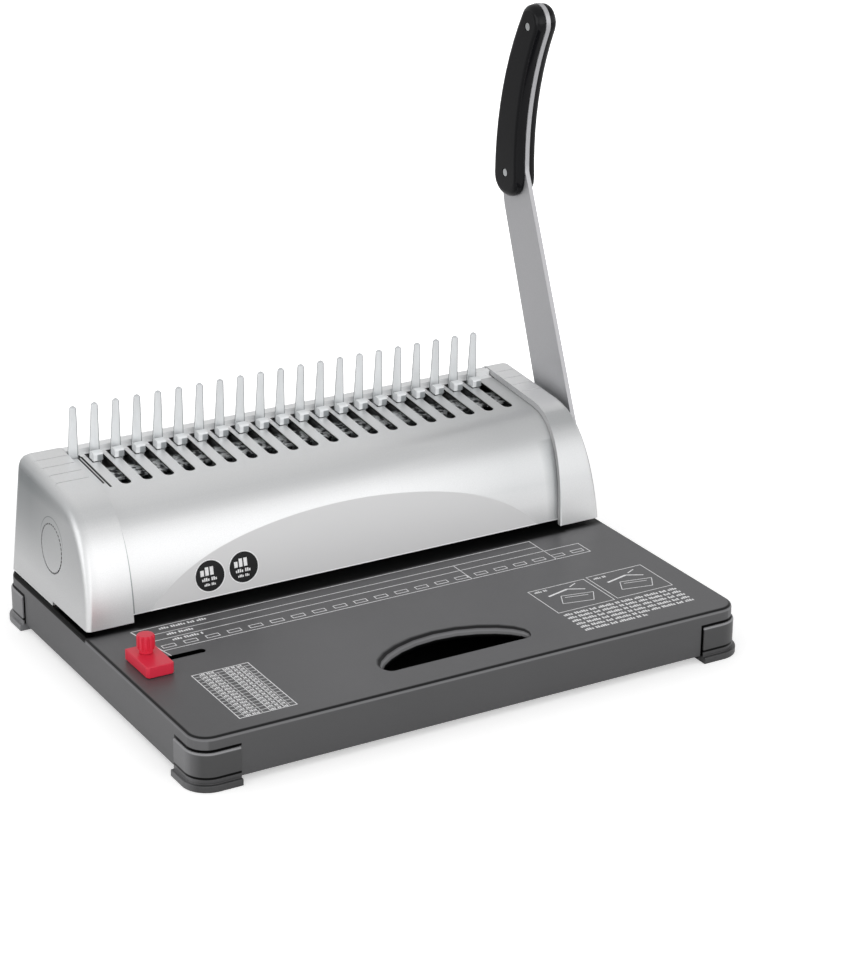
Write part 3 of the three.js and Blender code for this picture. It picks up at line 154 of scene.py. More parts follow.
# The prints and badges
SLOT_CENTRE_X = -0.1457  # of the first printed slot outline
BADGES = ("badge_left", -0.0995, 0.0522), ("badge_right", -0.0767, 0.0531)  # name, x, z
BADGE_FILM, BADGE_MARKS, BADGE_RIM = 0.00012, 0.00018, 0.0007  # heights, and the rim's width
BADGE_CORNERS, BADGE_STRIPS = 48, 10  # round it, and across it where it bends
IN_FRONT_Y, CLEAR_OF_COVER = -0.2, 0.02
PICTURE_STROKES = (  # from x, y to x, y, and how many lines wide; x from the box's left side
    (0.010, -0.085, 0.030, -0.089, 1), (0.030, -0.089, 0.036, -0.079, 1),
    (0.036, -0.079, 0.015, -0.075, 1), (0.015, -0.075, 0.010, -0.085, 1),
    (0.016, -0.078, 0.031, -0.081, 1), (0.008, -0.072, 0.024, -0.068, 3),
    (0.024, -0.068, 0.034, -0.073, 2), (0.027, -0.066, 0.033, -0.063, 1.5),
)

# The stage
CAMERA_PLACE = -0.7511, -1.3544, 0.7252
CAMERA_LENS, CAMERA_SENSOR = 102.787, 36  # in millimetres
LAMP_TARGET = 0, 0, 0.05
FLOOR_HALF_WIDTH = 6

SATIN_METAL = 0.72  # share of metal in the silver paint
SHARP_TURN = math.radians(28)  # an edge that turns more is rounded
SMOOTH_TURN = math.radians(38)  # an edge that turns more stays crisp
FLAT_TURN = math.radians(0.6)  # faces that turn less are joined
JOIN_DISTANCE = 1e-6  # corners nearer than this are one


# ---------------------------------------------------------------- settings


def colour(name, description, default):
    """A colour setting."""
    return FloatVectorProperty(
        name=name, description=description, default=default, subtype="COLOR", min=0, max=1
    )


def length(name, description, default):
    """A length setting in metres."""
    return FloatProperty(
        name=name, description=description, default=default, min=0, unit="LENGTH", precision=4
    )


def angle(name, description, degrees):
    """An angle setting."""
    return FloatProperty(
        name=name, description=description, default=math.radians(degrees), unit="ROTATION"
    )


def amount(name, description, default, unit="NONE"):
    """A setting that can't be negative."""
    return FloatProperty(name=name, description=description, default=default, min=0, unit=unit)


class FinishSettings(PropertyGroup):
    """Colours of the machine's finishes."""

    cover_silver: colour("Cover silver", "Satin paint on the curved cover", (0.83, 0.835, 0.84))
    cap_silver: colour("Cap silver", "Satin paint on the two end caps", (0.83, 0.835, 0.84))
    panel_grey: colour("Panel grey", "Printed arc on the cover's front", (0.675, 0.675, 0.68))
    lever_silver: colour("Lever silver", "Paint on the lever bar", (0.50, 0.50, 0.515))
    base_charcoal: colour("Base charcoal", "Moulded base shell", (0.098, 0.098, 0.102))
    foot_grey: colour("Foot grey", "Moulded corner feet", (0.105, 0.105, 0.109))
    grip_black: colour("Grip black", "Lever grip", (0.004, 0.004, 0.005))
    guide_red: colour("Guide red", "Edge guide and its knob", (0.70, 0.022, 0.055))
    bright_steel: colour("Bright steel", "Plated comb, hooks and screws", (0.72, 0.74, 0.75))
    comb_white: colour("Comb white", "Milky finish of comb and hooks", (0.83, 0.85, 0.862))
    # Painted shade: dark finger edges, hook sides, and the shaded bands, seams, corners and flanks
    # of cover and caps
    shade_grey: colour("Outline grey", "Worn edges, seams and shades", (0.16, 0.18, 0.19))
    # Black painted shade in gaps, the throat, openings, slot walls and on the hook plate; also the
    # dashes of the cap's ring
    gap_black: colour("Gap black", "Deep gaps, throat and openings", (0.004, 0.004, 0.004))
    dark_steel: colour("Dark steel", "Frames, punches and cams", (0.16, 0.165, 0.175))
    bronze: colour("Bronze", "Shaft bushes", (0.48, 0.36, 0.15))
    print_white: colour("Print white", "Ruler, table and picture boxes", (0.88, 0.88, 0.89))
    badge_black: colour("Badge black", "Round stickers", (0.006, 0.006, 0.007))


class EdgeSettings(PropertyGroup):
    """How far the edges of each kind of part are softened."""

    shell: length("Shells", "Edge radius on moulded and pressed shells", 0.0006)
    steel: length("Steel", "Edge radius on stamped and turned steel", 0.00025)
    grip: length("Grip", "Edge radius on the lever grip", 0.0006)
    guide: length("Guide", "Edge radius on the red guide and knob", 0.0005)
    steps: IntProperty(name="Steps", description="Facets across an edge", default=2, min=1, max=6)


class PrintSettings(PropertyGroup):
    """Line prints on the base and stickers on the cover."""

    line: length("Line", "Width of a printed line", 0.0005)
    fine_line: length("Fine line", "Width of a line in the table", 0.00035)
    thickness: length("Thickness", "Height of the print above the shell", 0.00005)
    badge_radius: length("Badge radius", "Radius of a round sticker", 0.0103)


class StageSettings(PropertyGroup):
    """Camera, lamps and floor."""

    azimuth: angle("Azimuth", "Camera direction round the machine", -30.48)
    elevation: angle("Elevation", "Camera height above the horizon", 21.94)
    roll: angle("Roll", "Camera turn about its own axis", 0.43)
    front: amount("Front", "Power of the low soft lamp in front", 2.1, "POWER")
    side: amount("Side", "Power of the soft lamp at the left", 3.2, "POWER")
    horizon: amount("Horizon", "Brightness of the studio's walls", 1.25)
    ceiling: amount("Ceiling", "Brightness of the studio's ceiling", 0.72)


def settings(group):
    """One group of the scene's settings."""
    return getattr(bpy.context.scene, group)


# ---------------------------------------------------------------- finishes


MIX_FIRST, MIX_SECOND, MIX_RESULT = 6, 7, 2  # colour sockets of a Mix node


class Wire:
    """A socket's value. Plain sums with it add Math nodes, and | takes the larger of two."""

    def __init__(self, recipe, socket):
        self.recipe = recipe
        self.socket = socket

    def maths(self, operation, *values, clamp=False):
        """A Math node fed with these values."""
        given = {"operation": operation, "use_clamp": clamp}
        return self.recipe.node("ShaderNodeMath", given, dict(enumerate(values)))

    def __add__(self, other):
        return self.maths("ADD", self, other)

    __radd__ = __add__

    def __sub__(self, other):
        return self.maths("SUBTRACT", self, other)

    def __rsub__(self, other):
        return self.maths("SUBTRACT", other, self)

    def __mul__(self, other):
        return self.maths("MULTIPLY", self, other)

    def __truediv__(self, other):
        return self.maths("DIVIDE", self, other)

    def __or__(self, other):
        return self.maths("MAXIMUM", self, other)

    def __abs__(self):
        return self.maths("ABSOLUTE", self)

    def above(self, limit, blur):
        """0 below the limit and 1 above it, with a soft step as wide as the blur."""
        return self.maths("MULTIPLY", self - limit, 1 / blur, clamp=True)

    def below(self, limit, blur):
        """1 below the limit and 0 above it, with a soft step as wide as the blur."""
        return 1 - self.above(limit, blur)

    def between(self, low, high, blur):
        """1 between two limits and 0 outside them, with soft steps."""
        return self.above(low, blur) * self.below(high, blur)


def reach(across, up):
    """The distance from a middle, given the distances along two axes."""
    return across.maths("SQRT", across * across + up * up)


def any_of(first, *others):
    """The largest of several masks."""
    for mask in others:
        first = first | mask
    return first


class Recipe:
    """A node tree in the making."""

    def __init__(self, tree):
        self.tree = tree

    def node(self, kind, given=None, sockets=None, output=0):
        """Adds a node: its settings first, then the values or links of its sockets."""
        node = self.tree.nodes.new(kind)
        for name, value in (given or {}).items():
            setattr(node, name, value)
        for name, value in (sockets or {}).items():
            self.feed(node.inputs[name], value)
        return Wire(self, node.outputs[output])

    def feed(self, socket, value):
        """Links a wire to a socket, or sets its value."""
        if isinstance(value, Wire):
            self.tree.links.new(value.socket, socket)
        elif socket.type == "RGBA":
            socket.default_value = (*value, 1)
        else:
            socket.default_value = value

    def place(self, kind="Object"):
        """The three coordinates of a point."""
        at = self.node("ShaderNodeTexCoord", output=kind)
        return [self.node("ShaderNodeSeparateXYZ", None, {0: at}, axis) for axis in "XYZ"]

    def ray_is(self, kind):
        """1 for rays of a kind, such as Camera or Glossy."""
        return self.node("ShaderNodeLightPath", output=f"Is {kind} Ray")


class Finish(Recipe):
    """A material in the making."""

    def __init__(self, name):
        self.material = bpy.data.materials.new(name)
        self.material.use_nodes = True
        super().__init__(self.material.node_tree)
        self.shader = self.tree.nodes["Principled BSDF"]

    def shade(self, **values):
        """Sets sockets of the surface shader, with spaces written as underscores."""
        for name, value in values.items():
            self.feed(self.shader.inputs[name.replace("_", " ")], value)

    def noise(self, scale, detail=2.0, roughness=0.5, stretch=(1, 1, 1)):
        """Noise on object coordinates, with scale in cells per metre."""
        at = self.node("ShaderNodeTexCoord", output="Object")
        given = {"vector_type": "POINT"}
        moved = self.node("ShaderNodeMapping", given, {"Vector": at, "Scale": stretch})
        sockets = {"Vector": moved, "Scale": scale, "Detail": detail, "Roughness": roughness}
        return self.node("ShaderNodeTexNoise", None, sockets)

    def blend(self, mask, first, second):
        """A mix of two colours."""
        sockets = {"Factor": mask, MIX_FIRST: first, MIX_SECOND: second}
        return self.node("ShaderNodeMix", {"data_type": "RGBA"}, sockets, MIX_RESULT)

    def recolour(self, mask, tone, share=1):
        """Blends a share of a tone over the base colour, where the mask is 1."""
        if share != 1:
            mask = mask * share
        base = self.shader.inputs["Base Color"].links[0].from_socket
        self.shade(Base_Color=self.blend(mask, Wire(self, base), tone))

    def blacken(self, mask):
        """Turns a place deep black, with no shine of its own."""
        self.recolour(mask, settings("finish_tones").gap_black)
        self.shade(Metallic=mask)

    def bump(self, height, distance, strength):
        """Feeds a height to the surface normal."""
        sockets = {"Height": height, "Distance": distance, "Strength": strength}
        self.shade(Normal=self.node("ShaderNodeBump", None, sockets))


def times(tone, share):
    """A tone times a share."""
    return tuple(channel * share for channel in tone)


def satin_paint(name, tone, roughness=0.36, metal=SATIN_METAL):
    """Silver paint on a moulded shell: fine flakes and a faint orange-peel surface."""
    paint = Finish(name)
    flakes = paint.noise(2600, 1.0)
    cloud = paint.noise(9, 2.0)
    paint.shade(
        Base_Color=paint.blend(flakes.above(0.35, 0.35), times(tone, 0.95), times(tone, 1.03)),
        Metallic=metal,
        Roughness=cloud * 0.06 + (roughness - 0.03),
        Specular_IOR_Level=0.5,
    )
    paint.bump(paint.noise(700, 2.0), 0.00002, 0.35)
    return paint


def cover_paint():
    """The cover's paint, with the printed arc on its front and the matt ledge behind the deck.

    Painted shade darkens the shoulder, the right end, the seam beside the left cap and the
    front's right corner, and turns the slots' walls black. The ledge's colour is brightened as
    painted light, and a painted highlight makes the bottom lip pale.
    """
    tones = settings("finish_tones")
    paint = satin_paint("cover_paint", tones.cover_silver)
    x, y, z = paint.place()
    front = y.below(FRONT_END_Y, 0.001)

    # Painted shade: a grey band across the shoulder, and the right end darkened
    shoulder = z.between(*COVER_SHOULDER_SHADE_Z, 0.0060) * 0.16
    right_end_shade = x.above(COVER_RIGHT_SHADE_X, 0.10) * z.above(COVER_RIGHT_SHADE_Z, 0.012) * 0.26
    paint.recolour(shoulder | right_end_shade, tones.shade_grey)

    across = (x - ARC_MIDDLE_X) / ARC_HALF_WIDTH
    squared = across * across
    fall = squared * ARC_ROUNDNESS + squared * squared * squared * (1 - ARC_ROUNDNESS)
    arc = (ARC_TOP_Z - fall * ARC_DROP - z).above(0, 0.0003) * front
    # Painted light: the ledge lies in shade, so its colour is brightened; it is matt as well
    ledge = y.above(LEDGE_Y, 0.0004) * z.above(LEDGE_Z, 0.0004)
    paint.recolour(arc, tones.panel_grey)
    paint.recolour(ledge, times(tones.cover_silver, 1.1))

    # Painted shade along the seam beside the left cap
    seam = x.below(COVER_SEAM_SHADE_X, 0.0002) * front * z.below(COVER_SEAM_SHADE_TOP_Z, 0.006)
    paint.recolour(seam, tones.shade_grey, 0.7)

    # Painted shade: black on the slots' walls below the deck and on the narrow slots' margins
    deck = DECK_Z + (y - DECK_Y) * DECK_RISE
    walls = (deck - z).above(0, 0.0003) * y.between(*DECK_SLOTS_Y, 0.0002)
    walls = walls * abs(x).below(DECK_HALF_WIDTH, 0.0002)
    margins = [
        x.between(*ends_x, 0.0001) * y.between(*ends_y, 0.0003)
        for ends_x, ends_y in NARROW_SLOT_SHADES
    ]
    narrow_slot_shade = any_of(*margins) * z.above(NARROW_SLOT_Z, 0.001)
    paint.recolour(walls | narrow_slot_shade, tones.gap_black, 0.9)

    # Painted shade on the front's right corner, beside the right cap
    corner = x.above(COVER_CORNER_SHADE_X, 0.0080) * front * z.below(COVER_CORNER_SHADE_TOP_Z, 0.020)
    paint.recolour(corner, tones.shade_grey, 0.5)
    # Painted highlight: a pale line along the cover's bottom lip
    paint.recolour(z.below(COVER_LIP_HIGHLIGHT_TOP_Z, 0.0002) * front, times(tones.cover_silver, 1.15))
    paint.shade(Metallic=SATIN_METAL - (arc | ledge) * SATIN_METAL)
    return paint


def cap_paint():
    """The end caps' paint, with the dashed ring on the left cap's side.

    Painted shade darkens the left side upwards and to the back, lays a grey band on the
    shoulders, darkens the right cap's front and outer edge, and lines the ring's upper lip.
    Painted highlights brighten the right cap's top, the matt crest on its inner edge and the
    bottom lips.
    """
    tones = settings("finish_tones")
    paint = satin_paint("cap_paint", tones.cap_silver)
    x, y, z = paint.place()
    left_side = x.below(CAP_SIDE_X, 0.001)
    right_cap = x.above(RIGHT_CAP_X, 0.0003)

    # Painted shade on the left cap's side, darker upwards and to the back
    shade = x.below(CAP_SHADE_X, 0.0090) * z.above(CAP_SHADE_Z, 0.055)
    paint.recolour(shade * (y.above(CAP_SHADE_Y, 0.050) * 0.45 + 0.42), tones.shade_grey)
    # Painted shade: a grey band across both shoulders and over the right cap's front
    shoulder = z.between(*CAP_SHOULDER_SHADE_Z, 0.0050) * 0.2
    right_front_shade = right_cap * z.between(*RIGHT_CAP_SHADE_Z, 0.0200) * 0.22
    paint.recolour(shoulder + right_front_shade, tones.shade_grey)
    # Painted highlight on the right cap's top
    paint.recolour(right_cap * z.above(RIGHT_CAP_HIGHLIGHT_Z, 0.0030), times(tones.cap_silver, 1.12))

    # Painted shade on the right cap's outer flank
    leaning = x + (z - RIGHT_SIDE_FOOT_Z) * RIGHT_SIDE_LEAN - RIGHT_SIDE_X
    flank = leaning.above(-0.0024, 0.0012) * z.above(0.040, 0.020)
    paint.recolour(flank, tones.shade_grey, 0.5)
    # Painted highlight: the crest on the right cap's inner edge is paler and not metallic
    crest = x.between(*RIGHT_CREST_HIGHLIGHT_X, 0.0001) * z.below(RIGHT_CREST_TOP_Z, 0.0020)
    paint.recolour(crest, times(tones.cap_silver, 1.2))
    paint.shade(Metallic=SATIN_METAL - crest * SATIN_METAL)

    along, up = y - RING_Y, z - RING_Z
    # Painted shade along the upper lip of the ring's groove
    lip = reach(along, z - RING_LIP_Z).between(*RING_LIP_REACH, 0.00015)
    lip = lip * left_side * z.above(RING_LIP_BOTTOM_Z, 0.008)
    paint.recolour(lip, tones.shade_grey, 0.7)
    # Painted highlight along the caps' bottom lips
    paint.recolour(z.below(CAP_LIP_HIGHLIGHT_TOP_Z, 0.0002), times(tones.cap_silver, 1.15))
    ring = reach(along, up).between(*RING_REACH, 0.00015) * left_side
    turn = x.maths("ARCTAN2", up, along)
    dashes = x.maths("SINE", turn * RING_DASHES).above(-0.55, 0.4)
    paint.recolour(ring * (dashes * 0.8 + 0.1), tones.gap_black)
    return paint


def base_plastic():
    """The base shell's plastic, with a painted highlight along its rim.

    Black painted shade lies on the rim line, beside the caps, in the throat's shadow, in the
    insides, in the guide's slot and in the gaps round the feet. Painted shade darkens the front
    wall and the top towards the left.
    """
    tones = settings("finish_tones")
    shell = moulded_plastic("base_shell", tones.base_charcoal, 0.42)
    shell.shade(Specular_IOR_Level=0.75)
    x, y, z = shell.place()
    wide, deep = abs(x - BASE_MIDDLE_X), abs(y - BASE_MIDDLE_Y)
    top = z.above(RIM_TOP_Z, 0.0001)
    housing_side = y.above(HOUSING_Y, 0.002)

    # Painted shade, blackened below: the top towards the left, the rim line, beside the caps, the
    # throat, insides, slot
    left_shade = x.below(LEFT_SHADE_X, 0.10) * top * 0.18
    rim = z.between(*RIM_Z, 0.00025) * 0.85
    under = z.above(UNDER_RIM_Z, 0.0003) * housing_side * abs(x).above(RIM_SIDE_X, 0.0005)
    throat = y.above(THROAT_SHADOW_Y, 0.0140) * abs(x).below(THROAT_HALF_WIDTH, 0.0020)
    shadow = y.maths("ADD", y.above(HOUSING_SHADOW_Y, 0.0050), throat, clamp=True) * top * 0.85
    inside = z.below(SHELL_INSIDE_Z, 0.0005) * wide.below(SHELL_INSIDE_X, 0.001)
    inside = inside * deep.below(SHELL_INSIDE_Y, 0.001)
    slot = z.below(GUIDE_SLOT_Z, 0.0001) * x.between(*GUIDE_SLOT_X, 0.001)
    slot = slot * y.between(*GUIDE_SLOT_Y, 0.001)

    # Painted shade: black gaps round the feet
    lip_bottom, lip_top = FOOT_GAP_Z
    low = z.below(lip_top, 0.0003)
    front_gap_shade = wide.between(*FOOT_GAP_X, 0.0003) * deep.above(SHELL_FRONT_Y, 0.0005)
    front_gap_shade = front_gap_shade * low * x.above(0, 0.01)
    side_gap_shade = deep.between(*FOOT_GAP_Y, 0.0003) * wide.above(SHELL_SIDE_X, 0.0005) * low
    lip = z.above(lip_bottom, 0.0003) * wide.above(FOOT_LIP_X, 0.0003)
    lip = lip * deep.above(FOOT_LIP_Y, 0.0003) * low

    # Painted shade on the base's front wall
    front = y.below(FRONT_WALL_Y, 0.0005) * z.below(FRONT_WALL_TOP_Z, 0.0010)
    shell.recolour(front, times(tones.base_charcoal, 0.3), 0.6)
    # Painted highlight: a pale line just below the rim
    edge = z.between(*RIM_HIGHLIGHT_Z, 0.0004) * (1 - housing_side)
    shell.recolour(edge, times(tones.base_charcoal, 3), 0.3)
    shell.blacken(any_of(rim, left_shade, under, shadow, inside, slot, front_gap_shade, side_gap_shade, lip))
    return shell


def foot_plastic():
    """The corner feet's glossier plastic, with painted light and shade: painted shade darkens the
    fronts, and painted light makes the sides, the backs and the upper edge paler.

    A black line of painted shade runs above the sole.
    """
    tones = settings("finish_tones")
    foot = gloss_plastic("foot_shell", tones.foot_grey, 0.3, 0.8)
    x, y, z = foot.place()
    # Painted shade on the feet's front faces
    front = y.below(FOOT_FRONT_Y, 0.006) * z.below(FOOT_FACE_TOP_Z, 0.0010)
    foot.recolour(front, times(tones.foot_grey, 0.3), 0.95)
    sole_top = SOLE_SHADE_Z[1]
    # Painted light: the outer flanks and the back feet are paler
    flank = abs(x - BASE_MIDDLE_X).above(FOOT_FLANK_X, 0.0020) * z.above(sole_top, 0.0005)
    pale = flank * 0.7 | y.above(FOOT_BACK_Y, 0.05) * 0.9
    foot.recolour(pale, times(tones.foot_grey, 1.9))
    # Painted highlight along the feet's upper edge
    foot.recolour(z.above(FOOT_HIGHLIGHT_Z, 0.0003), times(tones.foot_grey, 2.6), 0.7)
    # Painted shade: a black line above the sole
    foot.blacken(z.between(*SOLE_SHADE_Z, 0.0003) * 0.95)
    return foot


def from_finger(x):
    """How far a point lies to the right of the nearest finger's middle."""
    return x.maths("WRAP", x - FIRST_FINGER_X, PITCH / 2, -PITCH / 2)


def comb_finish():
    """The upright comb: milky, with painted shade as a dark outline round each finger."""
    tones = settings("finish_tones")
    comb = Finish("comb_milky")
    sheen = comb.noise(160, 2.0, 0.5, (1, 1, 0.25)).above(0.3, 0.5)
    comb.shade(
        Base_Color=comb.blend(sheen, times(tones.comb_white, 0.92), times(tones.comb_white, 1.08)),
        Metallic=0.15,
        Roughness=0.3,
        Specular_IOR_Level=0.6,
    )
    x, y, z = comb.place()
    at = from_finger(x)
    height = (z - FINGER_ROOT_Z) / FINGER_HEIGHT
    left = at + FINGER_LEFT - height * FINGER_TAPER
    left_edge_shade = left.below(0.0003, 0.0005) * y.above(FINGER_STEM_Y, 0.0004)
    right_edge_shade = (FINGER_RIGHT - at).below(0.0003, 0.0005)
    # Painted shade: darker near the root, dark lines along both edges and a darker rounded tip
    comb.recolour(z.below(COMB_SHADE_Z, 0.006), tones.shade_grey, 0.25)
    comb.recolour(left_edge_shade | right_edge_shade, tones.shade_grey, 0.95)
    comb.recolour(z.above(FINGER_TIP_Z, 0.0005), tones.shade_grey, 0.3)
    return comb


def hook_finish():
    """The hook plate: pale heads with painted shade on their right side.

    The plate has painted reflections, and painted shadow where it leaves the lit part of the
    slots.
    """
    tones = settings("finish_tones")
    hook = Finish("hook_steel")
    x, y, z = hook.place()
    head = z.above(HOOK_HEAD_Z, 0.0004)
    # Painted reflection: bright and dark patches on the plate
    reflection_patches = hook.noise(260, 2.0, 0.5).above(0.42, 0.14)
    plate = hook.blend(reflection_patches, times(tones.dark_steel, 0.4), times(tones.bright_steel, 1.25))
    # Painted shadow: the plate is black outside its lit part
    plate = hook.blend(1 - y.between(*HOOK_PLATE_Y, 0.004), plate, tones.gap_black)
    hook.shade(
        Base_Color=hook.blend(head, plate, tones.comb_white),
        Metallic=0.35 - head * 0.25,
        Roughness=0.32,
        Specular_IOR_Level=0.5,
    )
    at = from_finger(x)
    # Painted shade on each head's right side
    start, end = HOOK_SHADED_SIDE
    dark = at.above(start, 0.0008) * at.below(end, 0.0003) * z.below(HOOK_HEAD_TOP_Z, 0.0005)
    hook.recolour(head * dark, tones.shade_grey, 0.75)
    return hook


def pan_plastic():
    """The bottom pan's plastic, with black painted shade where the hand hole shows its upper face.
    """
    tones = settings("finish_tones")
    pan = moulded_plastic("base_underside", times(tones.base_charcoal, 0.7), 0.55)
    _, _, z = pan.place()
    # Painted shade: the floor seen through the hand hole is black
    pan.recolour(z.between(*PAN_FLOOR_Z, 0.0001), tones.gap_black)
    return pan


def moulded_plastic(name, tone, roughness):
    """Fine-grained moulded plastic with a faint unevenness in tone and shine."""
    plastic = Finish(name)
    speckle = plastic.noise(1800, 3.0, 0.6)
    cloud = plastic.noise(14, 3.0)
    plastic.shade(
        Base_Color=plastic.blend(cloud.above(0.3, 0.4), times(tone, 0.94), times(tone, 1.05)),
        Roughness=speckle * 0.12 + (roughness - 0.06),
        Specular_IOR_Level=0.45,
    )
    plastic.bump(speckle, 0.00004, 0.5)
    return plastic


def gloss_plastic(name, tone, roughness, shine=0.5):
    """Smooth plastic with a light gloss and faint moulding waves."""
    plastic = Finish(name)
    waves = plastic.noise(120, 2.0)
    plastic.shade(
        Base_Color=plastic.blend(waves, times(tone, 0.96), times(tone, 1.04)),
        Roughness=waves * 0.08 + (roughness - 0.04),
        Specular_IOR_Level=shine,
    )
    plastic.bump(waves, 0.00006, 0.3)
    return plastic


def steel(name, tone, roughness, stretch=(1, 1, 1), metal=1.0):
    """Plated or phosphated steel with faint drawn lines."""
    sheet = Finish(name)
    lines = sheet.noise(900, 3.0, 0.6, stretch)
    stains = sheet.noise(60, 2.0)
    sheet.shade(
        Base_Color=sheet.blend(lines, times(tone, 0.92), times(tone, 1.06)),
        Metallic=metal,
        Roughness=lines * 0.10 + stains * 0.06 + (roughness - 0.08),
    )
    sheet.bump(lines, 0.00001, 0.4)
    return sheet


def plain_print(name, tone):
    """Screen-printed ink, slightly worn."""
    ink = Finish(name)
    wear = ink.noise(500, 3.0)
    ink.shade(
        Base_Color=ink.blend(wear.above(0.25, 0.3), times(tone, 0.8), tone),
        Roughness=0.5,
        Specular_IOR_Level=0.3,
    )
    return ink


def mix_finishes():
    """Makes every finish; the keys are the names that parts ask for."""
    tones = settings("finish_tones")
    made = {
        "cover": cover_paint(),
        "cap": cap_paint(),
        # Shaded and lit copies of the cap paint: painted shade on the right cap's step, a painted
        # highlight on its crest
        "cap_step": satin_paint("cap_shade_paint", times(tones.cap_silver, 0.62), 0.4, 0.4),
        "cap_crest": satin_paint("cap_highlight_paint", times(tones.cap_silver, 1.2), 0.4, 0.1),
        "lever": satin_paint("lever_paint", tones.lever_silver, 0.42, 0.5),
        "base": base_plastic(),
        "pan": pan_plastic(),
        "foot": foot_plastic(),
        "grip": gloss_plastic("grip_shell", tones.grip_black, 0.16, 0.22),
        "red": gloss_plastic("guide_moulding", tones.guide_red, 0.36),
        "bright": steel("plated_steel", tones.bright_steel, 0.2, (1, 1, 0.1)),
        "comb": comb_finish(),
        "hook": hook_finish(),
        "dark": steel("phosphated_steel", tones.dark_steel, 0.5, (0.1, 1, 1), 0.7),
        "spring": steel("spring_wire", times(tones.bright_steel, 0.75), 0.3),
        "bronze": steel("bush_bronze", tones.bronze, 0.38),
        "ink": plain_print("white_ink", tones.print_white),
        "badge": plain_print("badge_film", tones.badge_black),
    }
    return {key: finish.material for key, finish in made.items()}


FINISHES = {}


# ---------------------------------------------------------------- shaping


def finish_piece(shape, name, finish, body, slot, *replaced):
    """Makes a shape an object that rides on a body and stands for CAD nodes."""
    mesh = bpy.data.meshes.new(name)
    shape.to_mesh(mesh)
    shape.free()
    mesh.materials.append(FINISHES[finish])
    piece = bpy.data.objects.new(name, mesh)
    bpy.context.scene.collection.objects.link(piece)
    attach(piece, body)
    if replaced:
        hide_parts(*replaced)
    return piece


def sharp_edges(shape):
    """Edges at which the surface makes a sharp turn."""
    return [e for e in shape.edges if e.is_manifold and e.calc_face_angle(0) > SHARP_TURN]


def merged_copy(part):
    """The part's shape with its loose triangles merged and its flat faces joined."""
    shape = bmesh.new()
    shape.from_mesh(parts[part].data)
    bmesh.ops.remove_doubles(shape, verts=shape.verts, dist=JOIN_DISTANCE)
    bmesh.ops.dissolve_limit(shape, angle_limit=FLAT_TURN, verts=shape.verts, edges=shape.edges)
    return shape


def smooth_rounds(shape):
    """Shades a shape smooth except at its crisp edges."""
    for face in shape.faces:
        face.smooth = True
    for edge in shape.edges:
        edge.smooth = edge.is_manifold and edge.calc_face_angle(0) < SMOOTH_TURN


def soften(part, finish, width):
    """A copy of a CAD part with its sharp edges rounded, standing for that part."""
    shape = merged_copy(part)
    bmesh.ops.bevel(
        shape, geom=sharp_edges(shape), offset=width, offset_type="OFFSET", affect="EDGES",
        segments=settings("edge_sizes").steps, profile=0.5, material=-1, clamp_overlap=True,
    )
    smooth_rounds(shape)
    body = parts[part]["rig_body"]
    slot = parts[part].data.materials[0].name.split(".")[0]
    piece = finish_piece(shape, part + "_dressed", finish, body, slot, part)
    level = piece.modifiers.new("Level shading", "WEIGHTED_NORMAL")
    level.keep_sharp = True
    return piece


def paint_part(part, finish):
    """Gives a CAD part a finish and leaves its shape."""
    parts[part].data.materials.clear()
    parts[part].data.materials.append(FINISHES[finish])


# ---------------------------------------------------------------- prints


def print_bar(shape, x0, x1, y0, y1):
    """Adds a flat printed rectangle, in metres."""
    corners = ((x0, y0), (x1, y0), (x1, y1), (x0, y1))
    shape.faces.new([shape.verts.new((x, y, 0)) for x, y in corners])


def print_box(shape, x0, x1, y0, y1, line):
    """Adds a printed frame, with its line inside the rectangle."""
    print_bar(shape, x0, x1, y0, y0 + line)
    print_bar(shape, x0, x1, y1 - line, y1)
    print_bar(shape, x0, x0 + line, y0 + line, y1 - line)
    print_bar(shape, x1 - line, x1, y0 + line, y1 - line)


def print_stroke(shape, start, end, line):
    """Adds a printed line between two points."""
    start, end = Vector(start), Vector(end)
    aside = (end - start).orthogonal().normalized() * line / 2
    corners = (start + aside, end + aside, end - aside, start - aside)
    shape.faces.new([shape.verts.new((*corner, 0)) for corner in corners])


def print_blocks(shape, x0, x1, y, size, groups=(4, 6, 3, 7, 2, 5)):
    """Adds a row of plain blocks in groups, where the machine has a line of small print."""
    step = size * 0.62
    wide, space, low = step * 0.72, step * 0.8, size * 0.7
    x, group = x0, 0
    while x + step < x1:
        for block in range(groups[group % len(groups)]):
            if x + step > x1:
                break
            tall = size if (block + group) % 3 else low
            print_bar(shape, x, x + wide, y, y + tall)
            x += step
        x += space
        group += 1


def thicken(shape, lift):
    """Gives a flat shape a thickness along a vector."""
    made = bmesh.ops.extrude_face_region(shape, geom=shape.faces[:])
    top = [v for v in made["geom"] if isinstance(v, bmesh.types.BMVert)]
    bmesh.ops.translate(shape, verts=top, vec=lift)
    bmesh.ops.recalc_face_normals(shape, faces=shape.faces)


# ---------------------------------------------------------------- operators


class BINDER_OT_finishes(Operator):
    """Mix the paints, plastics, steels and inks"""

    bl_idname = "binder.finishes"
    bl_label = "Finishes"

    def execute(self, context):
        FINISHES.update(mix_finishes())
        return {"FINISHED"}


class BINDER_OT_base(Operator):
    """Dress the base shell, its pan, tray and feet"""

    bl_idname = "binder.base"
    bl_label = "Base"

    def execute(self, context):
        edges = settings("edge_sizes")
        soften("base_cover", "base", edges.shell)
        soften("base_pan", "pan", edges.steel)
        soften("chip_tray", "pan", edges.shell)
        for part in ("foot_front_left", "foot_front_right", "foot_back_left", "foot_back_right"):
            soften(part, "foot", edges.shell)
        return {"FINISHED"}


